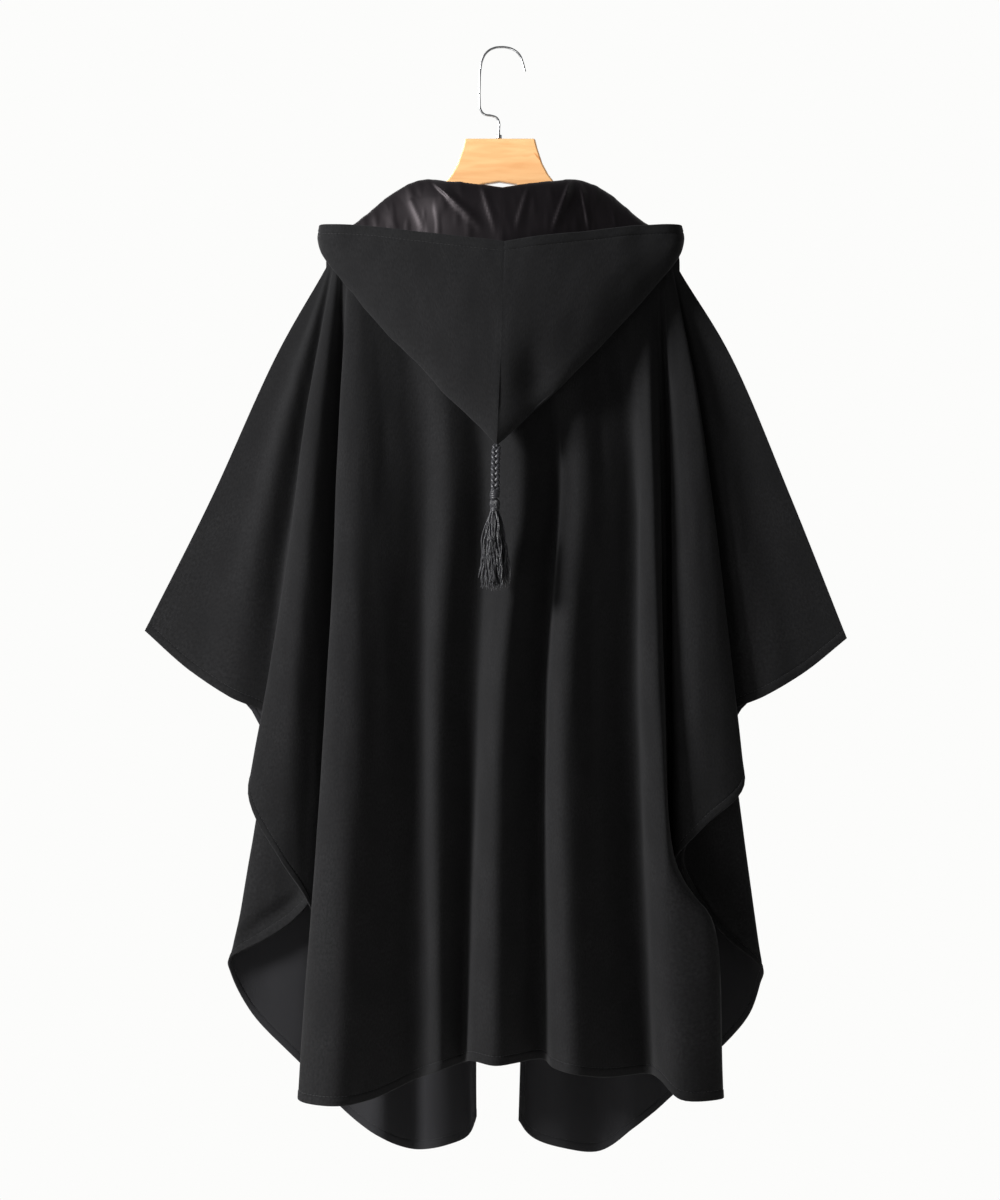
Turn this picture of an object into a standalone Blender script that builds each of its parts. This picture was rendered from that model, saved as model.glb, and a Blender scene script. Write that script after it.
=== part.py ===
"""A black wool hooded poncho, hung by its shoulders on a wooden hanger and seen from its back.

Metres, +Z up. The origin is the underside of the hook's top bend, where a rail or a peg carries it.
-Y is the garment's back, +X is to the right of someone who looks at that back.
Tables are in millimetres in the same frame, as (across, depth, height).
"""
import math
from collections import namedtuple

import bmesh
import bpy
from mathutils import Vector

MM = 0.001

# Cloth and gaps
CLOTH = 2.0              # wool wall
SATIN = 1.0              # lining wall
SEAM_GAP = 0.3           # between pieces that are sewn together
HALF_GAP = SEAM_GAP / 2

# Wooden hanger
BOARD_THICK = 12.0
ARM_START = 65.0         # where the arm leaves the neck of the board
ARM_TOP = -161.0         # height of the arm's top edge there
ARM_SLOPE = 0.62         # fall of the arm per unit of its length across
LEFT_END, RIGHT_END = -193.0, 200.0
WIRE = 2.8               # hook wire diameter
COLLAR = 7.0             # ferrule at the foot of the hook

# Garment on the hanger
SHOULDER_LEFT, SHOULDER_RIGHT = -208.0, 215.0
NECK_HALF = 100.0        # half width of the neck opening on the arms
SEAM_RISE = 3.0          # cloth lies this far above the arm
ARM_SIDE = 9.2           # and this far from the arm's middle plane
SEAM_SIDE = 1.25         # each panel's distance from the arm line seam's plane

# A fold line's first four points, as (distance from the arm's middle plane, fall below the seam)
OVER_ARM = ((HALF_GAP, 0.0), (5.35, 0.2), (8.95, 5.0), (ARM_SIDE, 17.0))
PAST_ARM = ((SEAM_SIDE, 0.0), (SEAM_SIDE, 3.2), (SEAM_SIDE, 7.5), (SEAM_SIDE, 17.0))
END_RUN = 14.0           # the change from one to the other takes this much of the arm

# The same four points where a fold line starts at the neckline: how much further out than the neckline
# each one lies, its least distance from the arm's middle plane, and its falls near and clear of the arm
NeckTurn = namedtuple("NeckTurn", "further least near_fall clear_fall")
NECK_TURNS = (NeckTurn(0.0, 0.0, SEAM_GAP, SEAM_GAP),
              NeckTurn(0.2, 5.6, SEAM_GAP + 0.2, SEAM_GAP + 3.2),
              NeckTurn(1.0, ARM_SIDE - 0.2, SEAM_GAP + 5.0, SEAM_GAP + 7.0),
              NeckTurn(2.5, ARM_SIDE, SEAM_GAP + 17.0, SEAM_GAP + 17.0))
CLEAR_RUN = 4.0          # the neckline is clear of the arm this far past half of the arm's side

# Tassel
CORD_DIAMETER = 4.2
TIP_DROP = 1.2           # the rounded fold at the hood's tip hangs this much below its fold line
TASSEL_TOP, TASSEL_NECK, TASSEL_END = -541.0, -556.0, -640.0
TASSEL_AT = (-6.0, -77.0)
TASSEL_STRANDS = 16      # strands in each of its rings
TASSEL_RINGS = 2
STRAND_SHARE = 0.72      # a strand's width as a share of its cell of the head
STRAND_GROWTH = 0.5      # how much of the skirt's spread goes into the strands' own width
STRAND_LEVELS = ((0.10, 1.25), (0.45, 1.9), (1.0, 2.75))   # (part of the fall, spread of the skirt)
UNEVEN_STEP, UNEVEN_CYCLE, UNEVEN_FALL = 5, 9, 1.6         # strands end at uneven heights
HEAD_PROFILE = ((TASSEL_TOP, 2.6), (TASSEL_TOP - 3, 4.6), (TASSEL_TOP - 8, 4.8),
                (TASSEL_TOP - 11, 3.8), (TASSEL_NECK, 5.6))   # (height, radius)
CORD_RINGS = 9
CORD_START = (0, -1.0)   # the cord leaves the tip here, (across, depth)
CORD_LEAN = (-0.6, -2.5, -8)     # from its start to its second point
CORD_SWAY = (-0.5, -1.5, 0)      # off the straight line half way down

# Fineness of the round pieces
TUBE_SIDES = 8
HOOK_RINGS = 44
SHARP_ANGLE = 50.0

# Fractions of a fold line's length at which the cloth is modelled
BACK_ROWS = (0.07, 0.15, 0.24, 0.34, 0.45, 0.56, 0.67, 0.78, 0.88, 0.95, 1.0)
FRONT_ROWS = (0.07, 0.15, 0.25, 0.36, 0.48, 0.60, 0.71, 0.81, 0.89, 0.94, 0.962, 0.98, 1.0)

# A fold line runs from the shoulder seam to the hem: its place across at the seam, then points on it.
Fold = namedtuple("Fold", "name across points")

BACK_FOLDS = (
    Fold("left arm line", -208, ((-266, -1.25, -365), (-347, -1.25, -542), (-426, -1.25, -699))),
    Fold("left wing middle", -205, ((-261, -6, -416), (-321, -7, -596), (-376, -6, -743))),
    Fold("left wing ridge", -203, ((-249, -14, -423), (-294, -16, -614), (-323, -13, -778))),
    Fold("left wing valley", -201, ((-231, -7, -440), (-262, -5, -640), (-279, -5, -800))),
    Fold("left wing return", -199, ((-227, -13, -450), (-258, -13, -655), (-275, -13, -822))),
    Fold("left side ridge", -197, ((-230, -24, -439), (-256, -28, -650), (-299, -28, -893))),
    Fold("left side crown", -194, ((-216, -30, -460), (-235, -38, -674), (-262, -38, -968))),
    Fold("left side turn", -191, ((-202, -20, -477), (-214, -24, -710), (-231, -26, -1018))),
    Fold("left pleat back", -188, ((-189, -8, -489), (-193, -5, -734), (-197, -3, -1110))),
    Fold("left pleat front", -185, ((-185, -15, -489), (-187, -14, -740), (-192, -12, -1150))),
    Fold("left fall flank", -182, ((-188, -25, -489), (-196, -28, -757), (-224, -31, -1239))),
    Fold("left fall ridge", -179, ((-191, -36, -472), (-201, -54, -727), (-237, -62, -1250))),
    Fold("left fall crown", -172, ((-175, -42, -473), (-176, -64, -744), (-195, -88, -1253))),
    Fold("left fall shade", -158, ((-145, -34, -472), (-139, -50, -745), (-155, -66, -1251))),
    Fold("left centre valley", -138, ((-113, -20, -471), (-107, -24, -745), (-119, -30, -1231))),
    Fold("left centre crown", -108, ((-80, -30, -472), (-77, -40, -769), (-65, -50, -1218))),
    Fold("left centre dip", -72, ((-41, -17, -483), (-38, -19, -757), (-36, -24, -1213))),
    Fold("centre fall edge", -46, ((9, -34, -508), (-11, -45, -780), (-31, -54, -1206))),
    Fold("centre fall crown", -22, ((25, -40, -496), (7, -57, -780), (-9, -68, -1209))),
    Fold("centre valley", 14, ((48, -18, -483), (39, -24, -769), (29, -30, -1208))),
    Fold("right centre edge", 43, ((65, -34, -484), (59, -50, -780), (59, -60, -1213))),
    Fold("right centre crown", 62, ((83, -40, -484), (79, -60, -780), (82, -76, -1217))),
    Fold("right centre shade", 80, ((112, -30, -484), (116, -42, -780), (125, -54, -1225))),
    Fold("right centre valley", 104, ((137, -18, -483), (155, -22, -781), (171, -26, -1226))),
    Fold("right fall ridge", 156, ((154, -34, -472), (167, -50, -768), (185, -62, -1226))),
    Fold("right fall crown", 175, ((173, -36, -472), (184, -56, -768), (210, -84, -1246))),
    Fold("right fall shade", 182, ((185, -26, -472), (191, -42, -769), (199, -52, -960), (237, -56, -1040),
                                   (262, -58, -1249))),
    Fold("right fall flank", 186, ((190, -18, -471), (194, -23, -850), (198, -27, -985),
                                   (205, -30, -1085), (222, -32, -1245))),
    Fold("right pleat front", 189, ((194, -14, -474), (198, -14, -850), (200, -14, -1010))),
    Fold("right pleat back", 192, ((198, -6, -476), (201, -6, -850), (203, -6, -1004))),
    Fold("right pleat end", 195, ((205, -7, -476), (208, -7, -850), (209, -7, -985))),
    Fold("right side turn", 198, ((208, -20, -471), (211, -28, -710), (210, -33, -968))),
    Fold("right side crown", 201, ((219, -28, -460), (234, -42, -686), (243, -44, -929))),
    Fold("right side ridge", 204, ((235, -24, -424), (264, -30, -650), (290, -30, -883))),
    Fold("right wing return", 206, ((230, -13, -438), (256, -13, -655), (273, -14, -812))),
    Fold("right wing valley", 208, ((234, -7, -430), (261, -6, -640), (279, -6, -795))),
    Fold("right wing ridge", 210, ((244, -12, -423), (282, -16, -614), (316, -13, -777))),
    Fold("right wing middle", 212, ((259, -6, -410), (317, -7, -596), (367, -6, -747))),
    Fold("right arm line", 215, ((276, -1.25, -368), (348, -1.25, -537), (416, -1.25, -708))),
)

LEFT_FRONT_FOLDS = (
    Fold("arm line", -208, ((-266, 1.25, -365), (-347, 1.25, -542), (-426, 1.25, -699))),
    Fold("wing middle", -204, ((-260, 7, -415), (-325, 7, -596), (-373, 6, -747))),
    Fold("wing inside", -200, ((-237, 5, -422), (-270, 3, -626), (-298, 2, -795))),
    Fold("side turn", -196, ((-210, 0, -458), (-235, -8, -710), (-254, -11, -961))),
    Fold("inner fold front", -192, ((-199, 2, -480), (-216, -3, -734), (-231, -5, -1000))),
    Fold("inner fold back", -188, ((-198, 9, -486), (-214, 5, -736), (-227, 4, -1020))),
    Fold("return upper", -185, ((-203, 14, -488), (-233, 13, -736), (-250, 12, -1012), (-252, 17, -1026),
                                (-249, 12, -1048))),
    Fold("return middle", -181, ((-209, 17, -490), (-252, 15, -742), (-280, 13, -1030), (-283, 18, -1046),
                                 (-281, 11, -1070))),
    Fold("return fold", -177, ((-214, 21, -493), (-265, 21, -759), (-318, 17, -1066), (-327, 17, -1096))),
    Fold("return behind", -174, ((-209, 27, -496), (-260, 28, -765), (-317, 26, -1110))),
    Fold("inner panel", -170, ((-197, 30, -505), (-238, 34, -783), (-290, 38, -1166))),
    Fold("side valley", -161, ((-182, 30, -505), (-200, 34, -807), (-240, 38, -1227))),
    Fold("side crown", -147, ((-160, 42, -504), (-168, 56, -833), (-189, 68, -1289))),
    Fold("middle valley", -128, ((-130, 30, -517), (-138, 38, -844), (-146, 46, -1316))),
    Fold("middle crown", -101, ((-100, 46, -516), (-103, 62, -858), (-106, 74, -1336))),
    Fold("inner valley", -84, ((-68, 38, -528), (-66, 46, -857), (-66, 52, -1327))),
    Fold("edge crown", -46, ((-41, 48, -540), (-42, 60, -870), (-38, 64, -1316))),
    Fold("front edge", -22, ((-22, 44, -553), (-30, 52, -882), (-29, 54, -1292))),
)

RIGHT_FRONT_FOLDS = (
    Fold("arm line", 215, ((276, 1.25, -368), (348, 1.25, -537), (416, 1.25, -708))),
    Fold("wing middle", 211, ((260, 7, -409), (320, 7, -596), (363, 6, -751))),
    Fold("wing inside", 207, ((241, 5, -422), (269, 3, -626), (290, 2, -793))),
    Fold("side turn", 203, ((220, 1, -458), (237, -3, -710), (249, -4, -916))),
    Fold("inner fold front", 200, ((210, 3, -480), (218, 0, -734), (222, 0, -960))),
    Fold("inner fold back", 196, ((208, 10, -486), (215, 8, -736), (220, 7, -985))),
    Fold("return upper", 193, ((212, 15, -488), (232, 14, -736), (236, 12, -1000), (237, 17, -1011),
                               (236, 13, -1022))),
    Fold("return middle", 189, ((220, 18, -490), (254, 16, -742), (271, 13, -1050), (272, 17, -1058),
                                (271, 12, -1067))),
    Fold("return fold", 184, ((226, 22, -493), (268, 21, -759), (313, 16, -1092), (316, 17, -1108))),
    Fold("return behind", 181, ((221, 28, -496), (262, 30, -765), (305, 29, -1124))),
    Fold("inner panel", 177, ((210, 31, -505), (245, 34, -783), (285, 38, -1183))),
    Fold("side valley", 168, ((196, 30, -505), (223, 34, -807), (243, 38, -1230))),
    Fold("side crown", 154, ((176, 42, -504), (189, 56, -833), (200, 66, -1279))),
    Fold("middle valley", 134, ((146, 30, -517), (154, 40, -844), (163, 48, -1305))),
    Fold("middle crown", 102, ((113, 46, -516), (116, 62, -858), (123, 74, -1338))),
    Fold("inner valley", 84, ((75, 38, -528), (73, 46, -857), (76, 52, -1330))),
    Fold("edge crown", 48, ((43, 48, -540), (40, 60, -870), (39, 64, -1319))),
    Fold("front edge", 22, ((24, 44, -553), (32, 52, -882), (23, 54, -1297))),
)

# The neckline, from the middle of the back over the arm to the throat, given for the right side.
BACK_NECKLINE = ((0, -32, -216), (30, -30, -212), (60, -23, -200), (80, -13, -185), (90, -6, -173),
                 (NECK_HALF, -0.2, -179.5))
FRONT_NECKLINE = ((NECK_HALF, 0.2, -179.5), (92, 7, -174), (84, 14, -188), (66, 26, -214),
                  (44, 35, -240), (22, 42, -268))

# The dropped hood, from the middle of the back round the arm's end to the throat, for the left side.
# Each section runs from the neck seam up to the roll, down the far wall, round the lower fold and
# up the near wall to the rim of the face opening.
HoodSection = namedtuple("HoodSection", "name seam stand roll back far fold near rim")
HOOD_SECTIONS = (
    HoodSection("centre seam", (0, -32, -215), (0, -31, -192), (3, -38, -175), (3, -47, -196),
                (1, -53, -330), (-4, -71, -478), (2, -83, -345), (5, -64, -240)),
    HoodSection("nape", (-40, -28.6, -208), (-46, -26, -188), (-60, -29, -167), (-64, -39, -186),
                (-61, -46, -310), (-57, -64, -423), (-54, -76, -322), (-50, -62, -233)),
    HoodSection("neck side", (-72, -18.5, -192), (-80, -16, -173), (-94, -17, -164),
                (-100, -28, -188), (-107, -37, -285), (-109, -52, -368), (-108, -63, -290),
                (-105, -51, -226)),
    HoodSection("on the arm", (-89, -7, -168.5), (-104, -9.5, -168), (-130, -12, -181),
                (-139, -20, -203), (-155, -28, -252), (-161, -38, -313), (-162, -48, -262),
                (-160, -37, -218)),
    HoodSection("back corner", (-98, -4.5, -170), (-119, -5, -178), (-160, -6, -206),
                (-185, -10, -223), (-200, -13, -236), (-209, -20, -252), (-212, -27, -237),
                (-210, -22, -214)),
    HoodSection("corner", (-102, 0.5, -171), (-122, 3, -180), (-160, 3, -206), (-186, 2, -221),
                (-203, 1, -229), (-212, 0, -238.5), (-219, -1, -229), (-216, -1, -214)),
    HoodSection("front corner", (-95, 6.5, -168.5), (-118, 10, -178), (-155, 12, -203),
                (-178, 15, -222), (-192, 18, -238), (-201, 25, -255), (-207, 32, -240), (-205, 28, -220)),
    HoodSection("front shoulder", (-75, 20, -201.6), (-91, 22, -189), (-113, 25, -195),
                (-133, 30, -212), (-145, 35, -238), (-152, 44, -262), (-158, 54, -247),
                (-156, 50, -228)),
    HoodSection("chest", (-50, 32.8, -232), (-59, 33, -224), (-72, 38, -221), (-82, 44, -233),
                (-90, 49, -250), (-96, 57, -266), (-101, 67, -257), (-100, 66, -242)),
    HoodSection("throat", (-22, 42, -267), (-25, 46, -266), (-28, 50, -268),
                (-30, 54, -270.5), (-31.5, 58, -273.5), (-33, 63, -276), (-34, 69, -277),
                (-35, 74, -276)),
)
FOLD_ROUND = (3.4, 1.2)  # half the width of the rounded lower fold, at the back and at the throat
NECK_RISE = {"back": 0.9, "throat": 3.4, "arm": 5.0}    # hood's edge above the panels' neckline
RISE_FROM, RISE_TO = 55.0, 88.0
RIGHT_REACH = 1.008      # the right corner stands slightly further out than the left
HOOD_POINTS = 9          # points of a section, with its lower fold split in two
LINING_POINTS = 5        # the lining follows a section from the seam to its far wall
CORNER_SECTION = 5       # sections from here on belong to the front of the neckline

HOOK_ROUTE = ((30, -28), (27.5, -18), (23.5, -8), (16, -1.6), (8, 1.0), (0, 1.4), (-7, 0.4), (-15, -4),
              (-20.5, -12), (-23.5, -25), (-24.5, -45), (-24.5, -62), (-23.5, -73), (-19, -79),
              (-10, -81), (-4, -83.5), (-1.2, -89), (-1.2, -98), (-1.2, -104))

# Half of the board's outline from the middle of its top to the middle of its arch, (across, height).
BOARD_TOP = -109.0
BOARD_NECK = ((0, BOARD_TOP), (42, BOARD_TOP), (45, -121), (51, -139), (58, -152))
BOARD_ARCH = ((47, -181), (34, -169), (20, -164), (0, -161))
ARM_DEPTH = 22.0         # height of the arm near its end
END_DEPTH = 16.0
TAPER = 60.0             # the arm narrows over this much of its end
# Corners of the arm's end, from the point where its top edge would end
ARM_END = ((-6, 6 * ARM_SLOPE), (0, -4), (0, 2 - END_DEPTH), (-5, 3 * ARM_SLOPE - END_DEPTH))
BOARD_ROUND = 2.0        # radius of the board's edges
BOARD_ROUND_STEPS = 2
BOARD_CORNER = 55.0      # edges that turn by more than this are rounded
COLLAR_STEP = 0.01       # the collar widens from the wire over this height

COLOURS = {"wool": (0.018, 0.018, 0.020, 1.0), "satin": (0.035, 0.030, 0.040, 1.0),
           "rayon": (0.012, 0.012, 0.014, 1.0), "wood": (0.78, 0.56, 0.30, 1.0),
           "steel": (0.55, 0.55, 0.56, 1.0)}
ROUGHNESS = {"wool": 0.95, "satin": 0.35, "rayon": 0.55, "wood": 0.45, "steel": 0.25}


def material(kind):
    """Return the Principled material of one kind of stuff, made on first use."""
    found = bpy.data.materials.get(kind)
    if found:
        return found
    made = bpy.data.materials.new(kind)
    made.use_nodes = True
    shader = made.node_tree.nodes["Principled BSDF"]
    shader.inputs["Base Color"].default_value = COLOURS[kind]
    shader.inputs["Roughness"].default_value = ROUGHNESS[kind]
    shader.inputs["Metallic"].default_value = 1.0 if kind == "steel" else 0.0
    return made


def finish(name, mesh, kind):
    """Point the mesh's faces outwards and link it as a named, smooth object."""
    bmesh.ops.recalc_face_normals(mesh, faces=mesh.faces)
    if mesh.calc_volume(signed=True) < 0:
        bmesh.ops.reverse_faces(mesh, faces=mesh.faces)
    data = bpy.data.meshes.new(name)
    mesh.to_mesh(data)
    mesh.free()
    data.shade_smooth()
    data.set_sharp_from_angle(angle=math.radians(SHARP_ANGLE))
    data.materials.append(material(kind))
    made = bpy.data.objects.new(name, data)
    bpy.context.scene.collection.objects.link(made)
    return made


def spline(points, fractions):
    """Sample a centripetal Catmull-Rom curve through points at fractions of its chord length."""
    points = [Vector(p) for p in points]
    spans = [max((b - a).length, 1e-6) for a, b in zip(points, points[1:])]
    total = sum(spans)
    samples = []
    for fraction in fractions:
        left = fraction * total
        index = 0
        while index < len(spans) - 1 and left > spans[index]:
            left -= spans[index]
            index += 1
        samples.append(curve_point(points, index, min(left / spans[index], 1.0)))
    return samples


def curve_point(points, index, part):
    """Return the point a part of the way along one span of a centripetal Catmull-Rom curve."""
    p1, p2 = points[index], points[index + 1]
    p0 = points[index - 1] if index > 0 else p1 * 2 - p2
    p3 = points[index + 2] if index + 2 < len(points) else p2 * 2 - p1
    step0, step1, step2 = (max((b - a).length, 1e-6) ** 0.5 for a, b in ((p0, p1), (p1, p2), (p2, p3)))
    slope1 = (p1 - p0) / step0 - (p2 - p0) / (step0 + step1) + (p2 - p1) / step1
    slope2 = (p2 - p1) / step1 - (p3 - p1) / (step1 + step2) + (p3 - p2) / step2
    slope1, slope2 = slope1 * step1, slope2 * step1
    square, cube = part * part, part ** 3
    return (p1 * (2 * cube - 3 * square + 1) + slope1 * (cube - 2 * square + part)
            + p2 * (3 * square - 2 * cube) + slope2 * (cube - square))


def widen(lines, steps):
    """Fill in columns between neighbouring lines, steps to each gap, row by row."""
    columns = [[] for _ in range((len(lines) - 1) * steps + 1)]
    for row in zip(*lines):
        row = list(row)
        for gap in range(len(row) - 1):
            for step in range(steps):
                columns[gap * steps + step].append(curve_point(row, gap, step / steps))
        columns[-1].append(row[-1])
    return columns


def wall(name, columns, kind, low, high, seam=None):
    """Make a closed wall between two offsets, in millimetres, from a grid of columns of points.

    The column numbered seam is cut square to X, where another piece is sewn on.
    """
    normals = grid_normals(columns)
    if seam is not None:
        normals[seam] = [Vector((0, n.y, n.z)).normalized() for n in normals[seam]]
    across, down = len(columns), len(columns[0])
    mesh = bmesh.new()
    sides = []
    for offset in (low, high):
        sides.append([[mesh.verts.new((columns[i][j] + normals[i][j] * offset) * MM)
                       for j in range(down)] for i in range(across)])
    for side in sides:
        for i in range(across - 1):
            for j in range(down - 1):
                mesh.faces.new((side[i][j], side[i + 1][j], side[i + 1][j + 1], side[i][j + 1]))
    rim = ([(i, 0) for i in range(across)] + [(across - 1, j) for j in range(1, down)]
           + [(i, down - 1) for i in range(across - 2, -1, -1)] + [(0, j) for j in range(down - 2, 0, -1)])
    for (i, j), (k, m) in zip(rim, rim[1:] + rim[:1]):
        mesh.faces.new((sides[0][i][j], sides[0][k][m], sides[1][k][m], sides[1][i][j]))
    return finish(name, mesh, kind)


def grid_normals(columns):
    """Return a unit normal at each point of a grid of columns."""
    across, down = len(columns), len(columns[0])
    normals = []
    for i in range(across):
        line = []
        for j in range(down):
            along = columns[min(i + 1, across - 1)][j] - columns[max(i - 1, 0)][j]
            below = columns[i][min(j + 1, down - 1)] - columns[i][max(j - 1, 0)]
            line.append(along.cross(below).normalized())
        normals.append(line)
    return normals


def arm_height(across):
    """Return the height of the arm's top edge."""
    return ARM_TOP - (abs(across) - ARM_START) * ARM_SLOPE


def seam_points(across, side):
    """Return the four points that take a fold line over the arm, or down from the neckline.

    side is -1 for the back panel and +1 for the front.
    """
    if abs(across) < NECK_HALF:
        table = BACK_NECKLINE if side < 0 else FRONT_NECKLINE
        _, y, z = neckline(table, abs(across))
        out = abs(y)
        clear = min(max((out - ARM_SIDE / 2) / CLEAR_RUN, 0.0), 1.0)
        return [(across, side * max(out + turn.further, turn.least),
                 z - turn.near_fall - (turn.clear_fall - turn.near_fall) * clear) for turn in NECK_TURNS]
    end = SHOULDER_LEFT if across < 0 else SHOULDER_RIGHT
    inward = min(abs(end - across) / END_RUN, 1.0)
    height = arm_height(across) + SEAM_RISE
    points = []
    for (depth, fall), (end_depth, end_fall) in zip(OVER_ARM, PAST_ARM):
        depth = end_depth + (depth - end_depth) * inward
        fall = end_fall + (fall - end_fall) * inward
        points.append((across, side * depth, height - fall))
    return points


def neckline(table, across):
    """Return the point of a neckline table at a distance across."""
    rows = sorted(table)
    for index in range(len(rows) - 1):
        if rows[index][0] <= across <= rows[index + 1][0]:
            part = (across - rows[index][0]) / (rows[index + 1][0] - rows[index][0])
            return curve_point([Vector(r) for r in rows], index, part)
    raise ValueError(f"{across} is outside the neckline")


def panel(name, folds, side, rows, steps=2):
    """Make one body panel from its fold lines."""
    lines = []
    for fold in folds:
        start = seam_points(fold.across, side)[-1]
        lines.append([Vector((fold.across, 0, 0))] + spline([start, *fold.points], rows))
    columns = []
    for column in widen(lines, steps):
        columns.append([Vector(p) for p in seam_points(column[0].x, side)] + column[1:])
    return wall(name, columns, "wool", -CLOTH / 2, CLOTH / 2)


def hood_lines(side, points, per_span):
    """Return one hood half's sections as rows of points; side is -1 for the left half."""
    lines = []
    for index, section in enumerate(HOOD_SECTIONS):
        route = []
        for x, y, z in section[1:]:
            if index == 0:
                route.append(Vector((x + side * HALF_GAP, y, z)))
            else:
                route.append(Vector((x if side < 0 else -x * RIGHT_REACH, y, z)))
        route = round_fold(route, FOLD_ROUND[section.name == "throat"])
        line = []
        for span in range(points - 1):
            line += [curve_point(route, span, step / per_span) for step in range(per_span)]
        lines.append(line + [route[points - 1]])
    return lines


def round_fold(route, half):
    """Split a section's lower fold into two points, so that it turns round and not in a point."""
    far, fold, near = route[4:7]
    across = Vector((near.x - far.x, near.y - far.y, 0)).normalized() * half
    return route[:5] + [fold - across, fold + across] + route[6:]


def follow_neckline(columns, steps):
    """Set the lower edge of the hood's columns just above the panels' neckline, up to the arm."""
    for index, column in enumerate(columns):
        across = abs(column[0].x)
        if across < RISE_TO:
            behind = index < CORNER_SECTION * steps
            table = BACK_NECKLINE if behind else FRONT_NECKLINE
            across = max(across, min(row[0] for row in table))
            place = neckline(table, across)
            base = NECK_RISE["back" if behind else "throat"]
            lifted = min(max((across - RISE_FROM) / (RISE_TO - RISE_FROM), 0.0), 1.0)
            rise = base + (NECK_RISE["arm"] - base) * lifted
            column[0] = Vector((math.copysign(across, column[0].x), place.y, place.z + rise))
            column[1] = (column[0] + column[2]) / 2
    return columns


def hood_half(name, side):
    """Make one half of the wool hood and its satin lining."""
    outer = follow_neckline(widen(hood_lines(side, HOOD_POINTS, 2), 2), 2)
    inner = [column[1:] for column in follow_neckline(widen(hood_lines(side, LINING_POINTS, 2), 2), 2)]
    face = -side
    wall("hood_" + name, outer, "wool", -CLOTH / 2, CLOTH / 2, seam=0)
    near, far = face * (CLOTH / 2 + SEAM_GAP), face * (CLOTH / 2 + SEAM_GAP + SATIN)
    wall("hood_lining_" + name, inner, "satin", min(near, far), max(near, far), seam=0)


def tube(name, route, radii, kind):
    """Make a round closed tube along a route, with a radius at each of its points."""
    mesh = bmesh.new()
    rings = []
    across = None
    for index, point in enumerate(route):
        ahead = (route[min(index + 1, len(route) - 1)] - route[max(index - 1, 0)]).normalized()
        if across is None:
            across = ahead.orthogonal().normalized()
        across = (across - ahead * across.dot(ahead)).normalized()
        other = ahead.cross(across)
        rings.append([mesh.verts.new((point + (across * math.cos(turn) + other * math.sin(turn))
                                      * radii[index]) * MM)
                      for turn in (2 * math.pi * k / TUBE_SIDES for k in range(TUBE_SIDES))])
    for first, second in zip(rings, rings[1:]):
        for k in range(TUBE_SIDES):
            after = (k + 1) % TUBE_SIDES
            mesh.faces.new((first[k], first[after], second[after], second[k]))
    mesh.faces.new(list(reversed(rings[0])))
    mesh.faces.new(rings[-1])
    return finish(name, mesh, kind)


def hanger():
    """Make the wooden board with its two arms, and the wire hook with its collar."""
    half = list(BOARD_NECK) + [(ARM_START, ARM_TOP)]
    outline = []
    for end in (RIGHT_END, LEFT_END):
        side = 1 if end > 0 else -1
        reach = abs(end)
        top = arm_height(reach)
        arm = [(reach + x, top + z) for x, z in ARM_END]
        path = half + arm + [(reach - TAPER, arm_height(reach - TAPER) - ARM_DEPTH)] + list(BOARD_ARCH)
        path = [(side * x, z) for x, z in path]
        outline += path if side > 0 else list(reversed(path))[1:-1]
    mesh = bmesh.new()
    depth = BOARD_THICK / 2 * MM
    front = [mesh.verts.new((x * MM, -depth, z * MM)) for x, z in outline]
    face = mesh.faces.new(front)
    raised = bmesh.ops.extrude_face_region(mesh, geom=[face])["geom"]
    moved = [v for v in raised if isinstance(v, bmesh.types.BMVert)]
    bmesh.ops.translate(mesh, verts=moved, vec=(0, 2 * depth, 0))
    board = finish("hanger_board", mesh, "wood")
    soften = board.modifiers.new("rounded edges", "BEVEL")
    soften.width = BOARD_ROUND * MM
    soften.segments = BOARD_ROUND_STEPS
    soften.limit_method = "ANGLE"
    soften.angle_limit = math.radians(BOARD_CORNER)

    route = [Vector((x, 0, z)) for x, z in HOOK_ROUTE]
    wire = spline(route, [k / HOOK_RINGS for k in range(HOOK_RINGS + 1)])
    radii = [WIRE / 2] * len(wire)
    foot = wire[-1].z
    for height, radius in ((foot - COLLAR_STEP, COLLAR / 2), (BOARD_TOP + SEAM_GAP, COLLAR / 2)):
        wire.append(Vector((wire[-1].x, 0, height)))
        radii.append(radius)
    tube("hanger_hook", wire, radii, "steel")


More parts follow.
